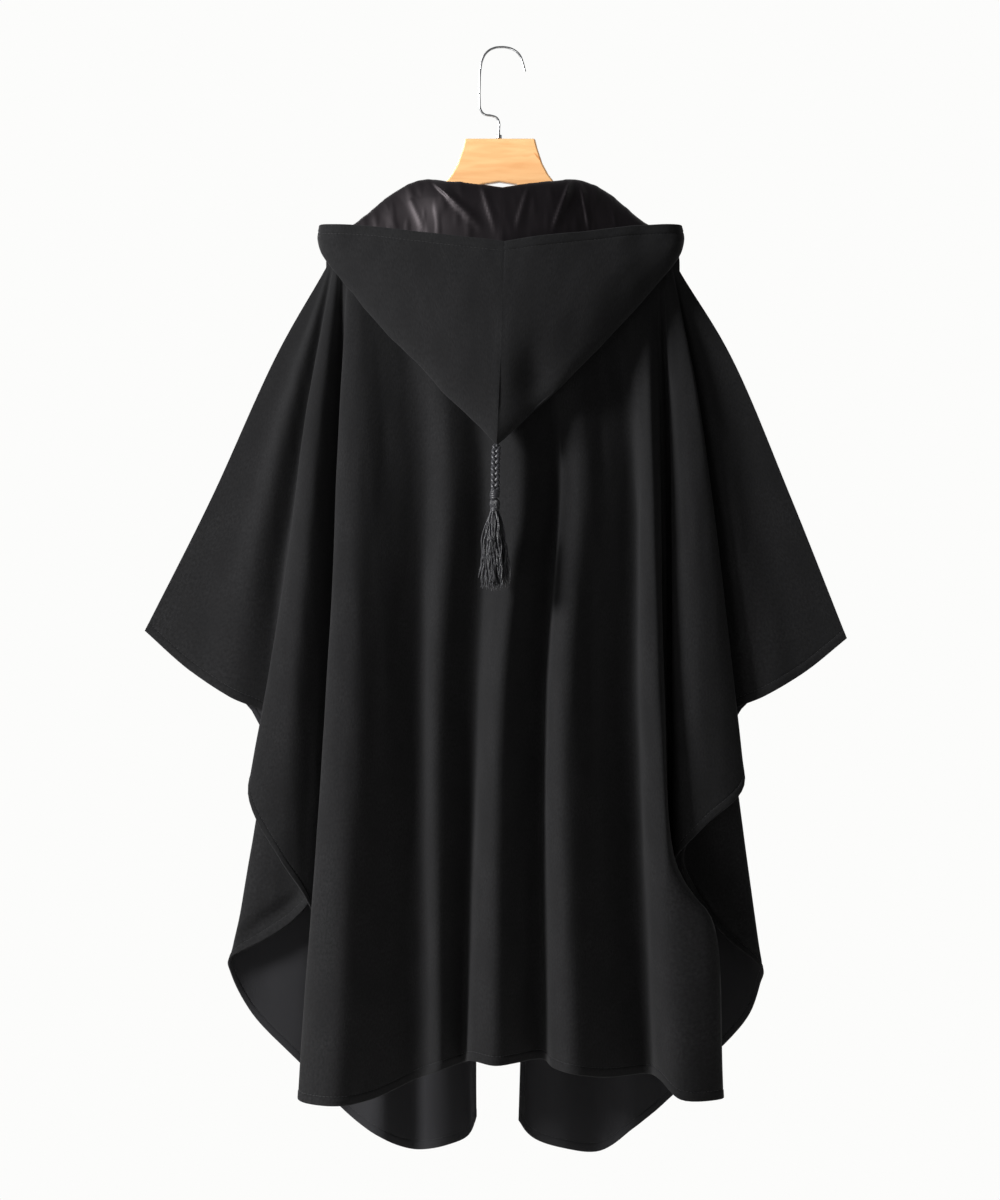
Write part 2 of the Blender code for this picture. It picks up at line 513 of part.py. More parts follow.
def tassel():
    """Make the cord from the hood's tip, and the tassel's head with its strands."""
    x, y = TASSEL_AT
    tip = Vector(HOOD_SECTIONS[0].fold)
    start = tip + Vector((*CORD_START, -CLOTH / 2 - SEAM_GAP - TIP_DROP))
    end = Vector((x, y, TASSEL_TOP + SEAM_GAP))
    route = spline([start, start + Vector(CORD_LEAN), (start + end) / 2 + Vector(CORD_SWAY), end],
                   [k / CORD_RINGS for k in range(CORD_RINGS + 1)])
    tube("tassel_cord", route, [CORD_DIAMETER / 2] * len(route), "rayon")

    mesh = bmesh.new()
    count = TASSEL_STRANDS
    rings = []
    for height, radius in HEAD_PROFILE:
        rings.append([mesh.verts.new(Vector((x + radius * math.cos(turn), y + radius * math.sin(turn),
                                             height)) * MM)
                      for turn in (2 * math.pi * k / count for k in range(count))])
    for first, second in zip(rings, rings[1:]):
        for k in range(count):
            mesh.faces.new((first[k], first[(k + 1) % count], second[(k + 1) % count], second[k]))
    mesh.faces.new(rings[0])
    cells = []
    outer = rings[-1]
    for number in range(TASSEL_RINGS, 0, -1):
        radius = HEAD_PROFILE[-1][1] * number / (TASSEL_RINGS + 1)
        inner = [mesh.verts.new(Vector((x + radius * math.cos(turn), y + radius * math.sin(turn),
                                        TASSEL_NECK)) * MM)
                 for turn in (2 * math.pi * k / count for k in range(count))]
        for k in range(count):
            cells.append(mesh.faces.new((outer[k], outer[(k + 1) % count], inner[(k + 1) % count],
                                         inner[k])))
        outer = inner
    mesh.faces.new(outer)
    strands(mesh, cells, x, y)
    return finish("tassel", mesh, "rayon")


def strands(mesh, cells, x, y):
    """Draw a strand down from each cell of the tassel head's underside."""
    for index, cell in enumerate(cells):
        centre = cell.calc_center_median()
        cell = bmesh.ops.extrude_discrete_faces(mesh, faces=[cell])["faces"][0]
        for vert in cell.verts:
            vert.co = centre + (vert.co - centre) * STRAND_SHARE
        uneven = ((index * UNEVEN_STEP) % UNEVEN_CYCLE) * UNEVEN_FALL
        shift = Vector((centre.x - x * MM, centre.y - y * MM, 0))
        last = 0.0
        before = 1.0
        for fraction, spread in STRAND_LEVELS:
            fall = (TASSEL_END - TASSEL_NECK + uneven) * fraction
            cell = bmesh.ops.extrude_discrete_faces(mesh, faces=[cell])["faces"][0]
            move = shift * (spread - before) + Vector((0, 0, (fall - last) * MM))
            bmesh.ops.translate(mesh, verts=cell.verts, vec=move)
            middle = cell.calc_center_median()
            grow = (1 + STRAND_GROWTH * (spread - 1)) / (1 + STRAND_GROWTH * (before - 1))
            for vert in cell.verts:
                vert.co = middle + (vert.co - middle) * grow
            last, before = fall, spread


def main():
    """Build every piece of the poncho and its hanger."""
    for old in list(bpy.data.objects):
        bpy.data.objects.remove(old)
    hanger()
    panel("back_panel", BACK_FOLDS, -1, BACK_ROWS)
    panel("front_panel_left", LEFT_FRONT_FOLDS, 1, FRONT_ROWS)
    panel("front_panel_right", RIGHT_FRONT_FOLDS, 1, FRONT_ROWS)
    hood_half("left", -1)
    hood_half("right", 1)
    tassel()


main()
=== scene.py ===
"""Looks of a black hooded poncho, hung by its shoulders on a wooden hanger and seen from its back.

The cloth pieces are fine shells lofted from fold lines, as the solids are. Seventeen of the back's
lines and two of each front's stand where the photograph has them, up to 18 mm from the solids. Fold
lines and hood sections are in millimetres in the model's frame, as (across, depth, height): +X is to
the right of someone who looks at the garment's back, -Y is towards that back and +Z is up. The origin
is the underside of the hook's bend.
"""
import logging
import math
from collections import namedtuple
from collections.abc import Sequence
from dataclasses import dataclass, field
from enum import Enum

import bmesh
import bpy
import numpy as np
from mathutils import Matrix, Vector


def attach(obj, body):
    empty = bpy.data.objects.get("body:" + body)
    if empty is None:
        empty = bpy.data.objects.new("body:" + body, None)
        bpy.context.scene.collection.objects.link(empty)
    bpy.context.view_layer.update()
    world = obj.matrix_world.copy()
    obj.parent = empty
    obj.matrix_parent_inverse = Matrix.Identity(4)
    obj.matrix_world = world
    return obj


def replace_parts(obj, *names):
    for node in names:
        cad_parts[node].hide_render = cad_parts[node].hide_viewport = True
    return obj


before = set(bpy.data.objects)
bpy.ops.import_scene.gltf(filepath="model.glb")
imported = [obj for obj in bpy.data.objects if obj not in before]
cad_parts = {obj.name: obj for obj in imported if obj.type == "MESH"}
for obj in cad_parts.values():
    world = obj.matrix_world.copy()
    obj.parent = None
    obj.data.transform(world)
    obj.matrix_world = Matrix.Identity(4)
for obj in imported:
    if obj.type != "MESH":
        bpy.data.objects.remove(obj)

LOG = logging.getLogger("poncho")
MM = 0.001
BODY = "root"
SHARP_ANGLE = math.radians(58)   # cloth edges from this angle on are shaded sharp
NOISE_WAVES, NOISE_GAIN = 7, 1.8
BEYOND = 500.0                   # distance in millimetres given to cloth that lies clear of a hem
Array = np.ndarray


# Colours and nodes

def linear(colour: str) -> tuple[float, float, float, float]:
    """Turn an sRGB hex colour into a linear one.

    Args:
        colour: the colour as "#RRGGBB".

    Returns:
        Linear red, green, blue and an alpha of one.
    """
    parts = (int(colour[k:k + 2], 16) / 255 for k in (1, 3, 5))
    return (*(p / 12.92 if p <= 0.04045 else ((p + 0.055) / 1.055) ** 2.4 for p in parts), 1.0)


def add_node(tree: bpy.types.NodeTree, kind: str, values: dict | None = None, links: dict | None = None,
             **settings: object) -> bpy.types.Node:
    """Add a node with its settings, its input values and its links.

    Args:
        tree: the node tree that takes it.
        kind: the node's type name.
        values: input socket to value.
        links: input socket to (node, output socket) that feeds it.
        settings: the node's own properties.

    Returns:
        The new node.
    """
    node = tree.nodes.new(kind)
    for key, value in settings.items():
        setattr(node, key, value)
    for key, value in (values or {}).items():
        node.inputs[key].default_value = value
    for key, (source, socket) in (links or {}).items():
        tree.links.new(source.outputs[socket], node.inputs[key])
    return node


def rib_scale(size: float) -> float:
    """Return the scale of a wave texture with diagonal bands.

    Args:
        size: the bands' distance along one axis, divided by 4 pi, in millimetres.

    Returns:
        The texture's scale.
    """
    return 1 / (size * MM) / 20


# Finishes

@dataclass(frozen=True)
class Finish:
    """A surface finish: what the stuff is, its colour and how it takes the light."""

    name: str
    colour: str
    roughness: float
    metallic: float = 0.0
    slot: str = "wool"

    def material(self) -> bpy.types.Material:
        """Return the finish's material, made on first use.

        Returns:
            The node material.
        """
        made = bpy.data.materials.get(self.name)
        if made is None:
            made = bpy.data.materials.new(self.name)
            made.use_nodes = True
            shader = made.node_tree.nodes["Principled BSDF"]
            shader.inputs["Base Color"].default_value = linear(self.colour)
            shader.inputs["Roughness"].default_value = self.roughness
            shader.inputs["Metallic"].default_value = self.metallic
            self.dress(made.node_tree, shader)
        return made

    def dress(self, tree: bpy.types.NodeTree, shader: bpy.types.Node) -> None:
        """Add the pattern of this finish to its tree; a plain finish has none.

        Args:
            tree: the material's nodes.
            shader: its Principled shader.
        """


@dataclass(frozen=True)
class WoolCloth(Finish):
    """Heavy woven wool, milled so that a short nap hides the threads: matte, with a soft pale bloom."""

    nap_mm: float = 1.7          # length of a tuft of nap along the thread
    rib_mm: float = 1.1          # faint diagonal ribs, 4 pi times this apart along a thread
    bloom_mm: float = 26.0       # patches where the nap lies another way
    bloom: str = "#1B1B1C"
    inside_painted_light: str = "#1C1C1E"  # painted light: the inside faces are drawn paler, so that the fronts' insides below the back's hem look lit
    bump: float = 0.32

    def dress(self, tree: bpy.types.NodeTree, shader: bpy.types.Node) -> None:
        """Add tufts, ribs and patches of nap.

        Args:
            tree: the material's nodes.
            shader: its Principled shader.
        """
        shader.inputs["Sheen Weight"].default_value = 0.03
        shader.inputs["Sheen Roughness"].default_value = 0.55
        shader.inputs["Sheen Tint"].default_value = linear("#C9C9CE")
        shader.inputs["Specular IOR Level"].default_value = 0.18
        threads = add_node(tree, "ShaderNodeUVMap", uv_map="threads")
        across = add_node(tree, "ShaderNodeMapping", {"Scale": (1.0, 0.42, 1.0)},
                          {"Vector": (threads, "UV")})
        tufts = add_node(tree, "ShaderNodeTexNoise", {"Scale": 1 / (self.nap_mm * MM), "Detail": 3.0,
                                                      "Roughness": 0.62}, {"Vector": (across, "Vector")})
        patches = add_node(tree, "ShaderNodeTexNoise", {"Scale": 1 / (self.bloom_mm * MM), "Detail": 2.0},
                           {"Vector": (across, "Vector")})
        weft = add_node(tree, "ShaderNodeTexWave", {"Scale": rib_scale(self.rib_mm), "Distortion": 1.2,
                                                    "Detail": 1.0}, {"Vector": (threads, "UV")},
                        bands_direction="DIAGONAL")
        cover = add_node(tree, "ShaderNodeMapRange", {"From Min": 0.36, "From Max": 0.70},
                         {"Value": (tufts, "Fac")})
        spread = add_node(tree, "ShaderNodeMapRange", {"From Min": 0.30, "From Max": 0.75, "To Min": 0.35,
                                                       "To Max": 1.0}, {"Value": (patches, "Fac")})
        amount = add_node(tree, "ShaderNodeMath", links={0: (cover, "Result"), 1: (spread, "Result")},
                          operation="MULTIPLY")
        colour = add_node(tree, "ShaderNodeMix", {6: linear(self.colour), 7: linear(self.bloom)},
                          {0: (amount, "Value")}, data_type="RGBA")
        # painted light: faces marked as the cloth's inside are mixed towards a paler colour, which
        # brightens the fronts' insides below the back's hem
        inside = add_node(tree, "ShaderNodeAttribute", attribute_name="inside_painted_light")
        plain = add_node(tree, "ShaderNodeMix", {7: linear(self.inside_painted_light)},
                         {0: (inside, "Fac"), 6: (colour, 2)}, data_type="RGBA")
        tree.links.new(plain.outputs[2], shader.inputs["Base Color"])
        height = add_node(tree, "ShaderNodeMath", {1: 0.18}, {0: (weft, "Fac"), 2: (tufts, "Fac")},
                          operation="MULTIPLY_ADD")
        bump = add_node(tree, "ShaderNodeBump", {"Strength": self.bump, "Distance": 0.6 * MM},
                        {"Height": (height, "Value")})
        tree.links.new(bump.outputs["Normal"], shader.inputs["Normal"])


@dataclass(frozen=True)
class SatinLining(Finish):
    """Acetate satin, woven with long floats: black with a smooth purple-grey shine along its folds."""

    float_mm: float = 0.9        # drawn coarser than the real 0.2 mm floats so that it shows
    crush_mm: float = 34.0       # spacing of the small press marks

    def dress(self, tree: bpy.types.NodeTree, shader: bpy.types.Node) -> None:
        """Add the floats and the small press marks.

        Args:
            tree: the material's nodes.
            shader: its Principled shader.
        """
        shader.inputs["Specular IOR Level"].default_value = 0.30
        shader.inputs["Specular Tint"].default_value = linear("#DFD3D8")
        shader.inputs["Sheen Weight"].default_value = 0.04
        shader.inputs["Sheen Roughness"].default_value = 0.35
        shader.inputs["Sheen Tint"].default_value = linear("#B6A7BC")
        threads = add_node(tree, "ShaderNodeUVMap", uv_map="threads")
        drawn, pressed = (add_node(tree, "ShaderNodeMapping", {"Scale": (1.0, long, 1.0)},
                                   {"Vector": (threads, "UV")}) for long in (0.08, 0.3))
        floats = add_node(tree, "ShaderNodeTexNoise", {"Scale": 1 / (self.float_mm * MM), "Detail": 2.0},
                          {"Vector": (drawn, "Vector")})
        crush = add_node(tree, "ShaderNodeTexNoise", {"Scale": 1 / (self.crush_mm * MM), "Detail": 1.5,
                                                      "Roughness": 0.4}, {"Vector": (pressed, "Vector")})
        fine = add_node(tree, "ShaderNodeBump", {"Strength": 0.10, "Distance": 0.25 * MM},
                        {"Height": (floats, "Fac")})
        soft = add_node(tree, "ShaderNodeBump", {"Strength": 0.14, "Distance": 3.0 * MM},
                        {"Height": (crush, "Fac"), "Normal": (fine, "Normal")})
        tree.links.new(soft.outputs["Normal"], shader.inputs["Normal"])
        rough = add_node(tree, "ShaderNodeMapRange", {"To Min": self.roughness - 0.06,
                                                      "To Max": self.roughness + 0.10},
                         {"Value": (crush, "Fac")})
        tree.links.new(rough.outputs["Result"], shader.inputs["Roughness"])


@dataclass(frozen=True)
class RayonYarn(Finish):
    """Viscose yarn, spun and plied: black with a soft silky glint on each ply."""

    rib_mm: float = 1.3          # slanting ribs, 4 pi times this apart along one axis

    def dress(self, tree: bpy.types.NodeTree, shader: bpy.types.Node) -> None:
        """Add the yarn's slanting ribs.

        Args:
            tree: the material's nodes.
            shader: its Principled shader.
        """
        shader.inputs["Specular IOR Level"].default_value = 0.5
        shader.inputs["Sheen Weight"].default_value = 0.25
        shader.inputs["Sheen Roughness"].default_value = 0.4
        place = add_node(tree, "ShaderNodeTexCoord")
        ribs = add_node(tree, "ShaderNodeTexWave", {"Scale": rib_scale(self.rib_mm), "Distortion": 2.0,
                                                    "Detail": 2.0}, {"Vector": (place, "Object")},
                        bands_direction="DIAGONAL")
        bump = add_node(tree, "ShaderNodeBump", {"Strength": 0.5, "Distance": 0.3 * MM},
                        {"Height": (ribs, "Fac")})
        tree.links.new(bump.outputs["Normal"], shader.inputs["Normal"])


@dataclass(frozen=True)
class BeechWood(Finish):
    """Steamed beech, sanded and clear lacquered: warm and pale, with long grain and short dark flecks."""

    ring_mm: float = 9.0
    fleck_mm: float = 2.2
    dark: str = "#D08F55"
    shake_at: tuple[float, float, float] = (47.0, 0.0, -133.0)       # a short split in the wood
    shake_size: tuple[float, float, float] = (12.0, 30.0, 1.8)
    shake_turn: float = 0.85

    def dress(self, tree: bpy.types.NodeTree, shader: bpy.types.Node) -> None:
        """Add growth rings along the board and the flecks between them.

        Args:
            tree: the material's nodes.
            shader: its Principled shader.
        """
        shader.inputs["Coat Weight"].default_value = 0.35
        shader.inputs["Coat Roughness"].default_value = 0.22
        place = add_node(tree, "ShaderNodeTexCoord")
        along = add_node(tree, "ShaderNodeMapping", {"Scale": (0.10, 1.0, 1.0)},
                         {"Vector": (place, "Object")})
        rings = add_node(tree, "ShaderNodeTexNoise", {"Scale": 1 / (self.ring_mm * MM), "Detail": 3.0,
                                                      "Distortion": 0.5},
                         {"Vector": (along, "Vector")})
        flecks = add_node(tree, "ShaderNodeTexNoise", {"Scale": 1 / (self.fleck_mm * MM), "Detail": 2.0},
                          {"Vector": (along, "Vector")})
        dark = add_node(tree, "ShaderNodeMapRange", {"From Min": 0.42, "From Max": 0.72, "To Max": 0.55},
                        {"Value": (rings, "Fac")})
        specks = add_node(tree, "ShaderNodeMapRange", {"From Min": 0.60, "From Max": 0.72, "To Max": 0.35},
                          {"Value": (flecks, "Fac")})
        grain = add_node(tree, "ShaderNodeMath", links={0: (dark, "Result"), 1: (specks, "Result")},
                         operation="MAXIMUM")
        shake = add_node(tree, "ShaderNodeMapping", {
            "Location": tuple(value * MM for value in self.shake_at),
            "Rotation": (0.0, self.shake_turn, 0.0),
            "Scale": tuple(value * MM for value in self.shake_size)}, {"Vector": (place, "Object")},
            vector_type="TEXTURE")
        rough = add_node(tree, "ShaderNodeTexNoise", {"Scale": 1.6, "Detail": 2.0},
                         {"Vector": (shake, "Vector")})
        pulled = add_node(tree, "ShaderNodeVectorMath", {1: (1.1, 1.1, 1.1), 2: (-0.55, -0.55, -0.55)},
                          {0: (rough, "Color")}, operation="MULTIPLY_ADD")
        bent = add_node(tree, "ShaderNodeVectorMath", links={0: (shake, "Vector"), 1: (pulled, "Vector")},
                        operation="ADD")
        away = add_node(tree, "ShaderNodeVectorMath", links={0: (bent, "Vector")}, operation="LENGTH")
        split = add_node(tree, "ShaderNodeMapRange", {"From Min": 1.0, "From Max": 0.55, "To Max": 1.0},
                         {"Value": (away, "Value")})
        both = add_node(tree, "ShaderNodeMath", links={0: (grain, "Value"), 1: (split, "Result")},
                        operation="MAXIMUM")
        colour = add_node(tree, "ShaderNodeMix", {6: linear(self.colour), 7: linear(self.dark)},
                          {0: (both, "Value")}, data_type="RGBA")
        tree.links.new(colour.outputs[2], shader.inputs["Base Color"])
        bump = add_node(tree, "ShaderNodeBump", {"Strength": 0.08, "Distance": 0.3 * MM},
                        {"Height": (flecks, "Fac")})
        tree.links.new(bump.outputs["Normal"], shader.inputs["Normal"])


@dataclass(frozen=True)
class PlatedWire(Finish):
    """Mild steel wire, drawn and zinc plated: grey, clean shine with faint draw lines."""

    line_mm: float = 0.8

    def dress(self, tree: bpy.types.NodeTree, shader: bpy.types.Node) -> None:
        """Add the draw lines as a slight change of gloss.

        Args:
            tree: the material's nodes.
            shader: its Principled shader.
        """
        place = add_node(tree, "ShaderNodeTexCoord")
        lines = add_node(tree, "ShaderNodeTexNoise", {"Scale": 1 / (self.line_mm * MM), "Detail": 2.0},
                         {"Vector": (place, "Object")})
        gloss = add_node(tree, "ShaderNodeMapRange", {"To Min": self.roughness - 0.05,
                                                      "To Max": self.roughness + 0.12},
                         {"Value": (lines, "Fac")})
        tree.links.new(gloss.outputs["Result"], shader.inputs["Roughness"])


class Finishes(Enum):
    """The finishes of the garment, its hanger and the studio."""

    WOOL = WoolCloth("milled wool cloth", "#0B0B0C", 0.94)
    SATIN = SatinLining("acetate satin lining", "#0C0A0C", 0.46, slot="satin")
    THREAD = Finish("polyester sewing thread", "#131315", 0.62)
    RAYON = RayonYarn("plied viscose yarn", "#1A1A1F", 0.46, slot="rayon")
    WOOD = BeechWood("lacquered beech", "#EDBA82", 0.42, slot="wood")
    STEEL = PlatedWire("zinc plated steel wire", "#B9BABC", 0.24, metallic=1.0, slot="steel")
    FLOOR = Finish("matte studio floor", "#E4E2DE", 0.85)


# Curves and shells

def catmull(knots: Array, places: Array) -> Array:
    """Sample centripetal Catmull-Rom curves.

    Args:
        knots: the curves' points, shaped (points, ..., 3).
        places: where to sample, in knots: 2.5 is half way from the third knot to the fourth.

    Returns:
        The samples, shaped (places, ..., 3).
    """
    ends = 2 * knots[:1] - knots[1:2], 2 * knots[-1:] - knots[-2:-1]
    padded = np.concatenate([ends[0], knots, ends[1]])
    index = np.minimum(places.astype(int), len(knots) - 2)
    part = (places - index).reshape((-1,) + (1,) * (knots.ndim - 1))
    p0, p1, p2, p3 = (padded[index + k] for k in range(4))
    step0, step1, step2 = (np.sqrt(np.maximum(np.linalg.norm(b - a, axis=-1, keepdims=True), 1e-6))
                           for a, b in ((p0, p1), (p1, p2), (p2, p3)))
    slope1 = ((p1 - p0) / step0 - (p2 - p0) / (step0 + step1) + (p2 - p1) / step1) * step1
    slope2 = ((p2 - p1) / step1 - (p3 - p1) / (step1 + step2) + (p3 - p2) / step2) * step1
    square, cube = part ** 2, part ** 3
    return (p1 * (2 * cube - 3 * square + 1) + slope1 * (cube - 2 * square + part)
            + p2 * (3 * square - 2 * cube) + slope2 * (cube - square))


def along(points: Sequence, fractions: Array) -> Array:
    """Sample one curve at fractions of its chord length.

    Args:
        points: the curve's points.
        fractions: from 0 at its start to 1 at its end.

    Returns:
        The samples, shaped (fractions, 3).
    """
    knots = np.array(points, dtype=float)
    reached = np.concatenate([[0.0], np.cumsum(np.linalg.norm(np.diff(knots, axis=0), axis=1))])
    places = np.interp(fractions * reached[-1], reached, np.arange(len(knots)))
    return catmull(knots, places)


def normals_of(grid: Array) -> Array:
    """Return the unit normals of a grid.

    Args:
        grid: points shaped (columns, rows, 3).

    Returns:
        One normal for each point.
    """
    across = np.gradient(grid, axis=0)
    down = np.gradient(grid, axis=1)
    normal = np.cross(across, down)
    return normal / np.maximum(np.linalg.norm(normal, axis=-1, keepdims=True), 1e-9)


def smooth_noise(grid: Array, size: tuple[float, float, float], seed: int) -> Array:
    """Return a smooth field between -1 and 1 over a grid of points, as a sum of slanting waves.

    Args:
        grid: points in millimetres, shaped (columns, rows, 3).
        size: the waves' length across, in depth and in height, in millimetres.
        seed: number that picks the waves.

    Returns:
        One value for each point.
    """
    picks = np.random.default_rng(seed)
    total = np.zeros(grid.shape[:-1])
    for _ in range(NOISE_WAVES):
        turn = picks.normal(0, 1, 3) * 2 * math.pi / np.array(size)
        total += np.sin(grid @ turn + picks.uniform(0, 2 * math.pi))
    return total / NOISE_WAVES * NOISE_GAIN


def layered_noise(grid: Array, waves: Sequence, seed: int) -> Array:
    """Add up smooth noises of several sizes.

    Args:
        grid: points in millimetres, shaped (columns, rows, 3).
        waves: each noise's size and its share.
        seed: number that picks the first noise; the others' numbers follow it.

    Returns:
        One value for each point.
    """
    return sum(smooth_noise(grid, size, seed + number) * share
               for number, (size, share) in enumerate(waves))


def ramp(values: Array, start: float, run: float) -> Array:
    """Rise from 0 at a start to 1 a run further on.

    Args:
        values: where to take the ramp.
        start: where it leaves 0.
        run: how much further it reaches 1; below 0 it rises the other way.

    Returns:
        One number from 0 to 1 for each value.
    """
    return np.clip((values - start) / run, 0, 1)


def face_outward(mesh: bpy.types.Mesh) -> None:
    """Turn all faces of a mesh of closed walls outward and shade them smooth.

    Args:
        mesh: the mesh, changed in place.
    """
    work = bmesh.new()
    work.from_mesh(mesh)
    bmesh.ops.recalc_face_normals(work, faces=work.faces)
    if work.calc_volume(signed=True) < 0:
        bmesh.ops.reverse_faces(work, faces=work.faces)
    work.to_mesh(mesh)
    work.free()
    mesh.shade_smooth()


def link_mesh(name: str, mesh: bpy.types.Mesh, finish: Finishes) -> bpy.types.Object:
    """Link a mesh as a piece that rides on the body.

    Args:
        name: the piece's name.
        mesh: its mesh, with its place in it.
        finish: what it is made of.

    Returns:
        The piece.
    """
    piece = bpy.data.objects.new(name, mesh)
    bpy.context.scene.collection.objects.link(piece)
    return take_finish(piece, finish)


def take_finish(piece: bpy.types.Object, finish: Finishes) -> bpy.types.Object:
    """Give a piece its finish and its body.

    Args:
        piece: the piece.
        finish: what it is made of.

    Returns:
        The same piece.
    """
    piece.data.materials.clear()
    piece.data.materials.append(finish.value.material())
    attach(piece, BODY)
    return piece


def shell(name: str, grid: Array, low: Array, high: Array, finish: Finishes,
          seam: bool = False, inside: float = 0.0) -> bpy.types.Object:
    """Make a closed cloth wall on both sides of a grid, with its threads' UV map in metres.

    Args:
        name: the piece's name.
        grid: middle of the cloth in millimetres, shaped (columns, rows, 3).
        low: offset of one face along the normal, in millimetres, for each point.
        high: offset of the other face.
        finish: what it is made of.
        seam: whether the first column is cut square to X, where its other half is sewn on.
        inside: which way along Y the cloth's wrong side looks, whose faces take the wool's paler painted
            light, or 0 where it can't be seen.

    Returns:
        The piece.
    """
    columns, rows = grid.shape[:2]
    normal = normals_of(grid)
    if seam:
        normal[0, :, 0] = 0.0
        normal[0] /= np.linalg.norm(normal[0], axis=-1, keepdims=True)
    faces_at = [grid + normal * offset[..., None] for offset in (low, high)]
    points = np.concatenate([side.reshape(-1, 3) for side in faces_at]) * MM
    index = np.arange(columns * rows).reshape(columns, rows)
    corners = index[:-1, :-1], index[1:, :-1], index[1:, 1:], index[:-1, 1:]
    quads = np.stack(corners, axis=-1).reshape(-1, 4)
    rim = np.concatenate([index[:, 0], index[-1, 1:], index[-2::-1, -1], index[0, -2:0:-1]])
    after = np.roll(rim, -1)
    count = columns * rows
    band = np.stack([rim, rim + count, after + count, after], axis=-1)
    turned = quads[:, ::-1]
    faces = np.concatenate([turned, quads + count, band[:, ::-1]])
    mesh = bpy.data.meshes.new(name)
    mesh.from_pydata(points.tolist(), [], faces.tolist())
    steps = np.linalg.norm(np.diff(grid, axis=0), axis=-1)
    width = np.concatenate([[0.0], np.cumsum(np.median(steps, axis=1))])
    drop = np.concatenate([np.zeros((columns, 1)),
                           np.cumsum(np.linalg.norm(np.diff(grid, axis=1), axis=-1), axis=1)], axis=1)
    flat = np.stack([np.broadcast_to(width[:, None], drop.shape), drop], axis=-1).reshape(-1, 2) * MM
    flat = np.concatenate([flat, flat])
    uv = mesh.uv_layers.new(name="threads")
    uv.data.foreach_set("uv", flat[faces.reshape(-1)].reshape(-1).astype(np.float32))
    # mark the wrong side's faces, which the wool draws paler as painted light
    if inside:
        start = len(quads) if normal[..., 1].mean() * inside > 0 else 0
        marks = np.zeros(len(faces), dtype=np.float32)
        marks[start:start + len(quads)] = 1.0
        mesh.attributes.new("inside_painted_light", "FLOAT", "FACE").data.foreach_set("value", marks)
    mesh.update()
    face_outward(mesh)
    mesh.set_sharp_from_angle(angle=SHARP_ANGLE)
    return link_mesh(name, mesh, finish)


def yarns(name: str, routes: Array, radii: Array, sides: int, finish: Finishes) -> bpy.types.Object:
    """Make one piece of many round closed yarns.

    Args:
        name: the piece's name.
        routes: the yarns' middle lines in millimetres, shaped (yarns, points, 3).
        radii: each line's radius at each point, shaped (yarns, points).
        sides: how many sides a yarn has.
        finish: what it is made of.

    Returns:
        The piece.
    """
    ahead = np.gradient(routes, axis=1)
    ahead /= np.maximum(np.linalg.norm(ahead, axis=-1, keepdims=True), 1e-9)
    across = np.cross(ahead[:, 0], [0.31, 0.87, 0.38])
    rings = []
    turn = 2 * math.pi * np.arange(sides) / sides
    for point in range(routes.shape[1]):
        across = across - ahead[:, point] * (across * ahead[:, point]).sum(-1, keepdims=True)
        across /= np.linalg.norm(across, axis=-1, keepdims=True)
        other = np.cross(ahead[:, point], across)
        ring = across[:, None] * np.cos(turn)[None, :, None] + other[:, None] * np.sin(turn)[None, :, None]
        rings.append(routes[:, point, None] + ring * radii[:, point, None, None])
    points = np.stack(rings, axis=1)
    count, long = points.shape[:2]
    index = np.arange(count * long * sides).reshape(count, long, sides)
    after = np.roll(index, -1, axis=2)
    walls = np.stack([index[:, :-1], after[:, :-1], after[:, 1:], index[:, 1:]], axis=-1).reshape(-1, 4)
    ends = np.concatenate([index[:, 0, ::-1], index[:, -1]])
    mesh = bpy.data.meshes.new(name)
    mesh.from_pydata((points.reshape(-1, 3) * MM).tolist(), [], walls.tolist() + ends.tolist())
    face_outward(mesh)
    return link_mesh(name, mesh, finish)


def face_area(grid: Array) -> float:
    """Measure a grid of points.

    Args:
        grid: points in millimetres, shaped (columns, rows, 3).

    Returns:
        Its area in square metres.
    """
    across = np.diff(grid, axis=0)[:, :-1]
    down = np.diff(grid, axis=1)[:-1]
    return float(np.linalg.norm(np.cross(across, down), axis=-1).sum()) * MM * MM


# The cloth's shape: fold lines and hood sections

CLOTH = 2.0              # wool wall
SATIN = 1.0              # lining wall
SEAM_GAP = 0.3           # between sewn pieces
ARM_START, ARM_TOP, ARM_SLOPE = 65.0, -161.0, 0.62
SHOULDER_LEFT, SHOULDER_RIGHT = -208.0, 215.0
NECK_HALF = 100.0
SEAM_RISE, ARM_SIDE, SEAM_SIDE = 3.0, 9.2, 1.25

# Over the arm: (depth, fall) from the shoulder seam down, on the arm and past its end.
OVER_ARM = ((SEAM_GAP / 2, 0.0), (5.35, 0.2), (8.95, 5.0), (ARM_SIDE, 17.0))
PAST_ARM = ((SEAM_SIDE, 0.0), (SEAM_SIDE, 3.2), (SEAM_SIDE, 7.5), (SEAM_SIDE, 17.0))
END_RUN = 14.0           # the change from one to the other takes this much of the arm

# Down from the neckline: how much further out than it, the least depth, and the fall near the arm and
# clear of it.
NeckTurn = namedtuple("NeckTurn", "further least near_fall clear_fall")
NECK_TURNS = (NeckTurn(0.0, 0.0, SEAM_GAP, SEAM_GAP),
              NeckTurn(0.2, 5.6, SEAM_GAP + 0.2, SEAM_GAP + 3.2),
              NeckTurn(1.0, ARM_SIDE - 0.2, SEAM_GAP + 5.0, SEAM_GAP + 7.0),
              NeckTurn(2.5, ARM_SIDE, SEAM_GAP + 17.0, SEAM_GAP + 17.0))
CLEAR_RUN = 4.0          # the neckline is clear of the arm this far past half of the arm's side

# A fold line runs from the shoulder seam to the hem: its place across at the seam, then points on it.
Fold = namedtuple("Fold", "name across points")

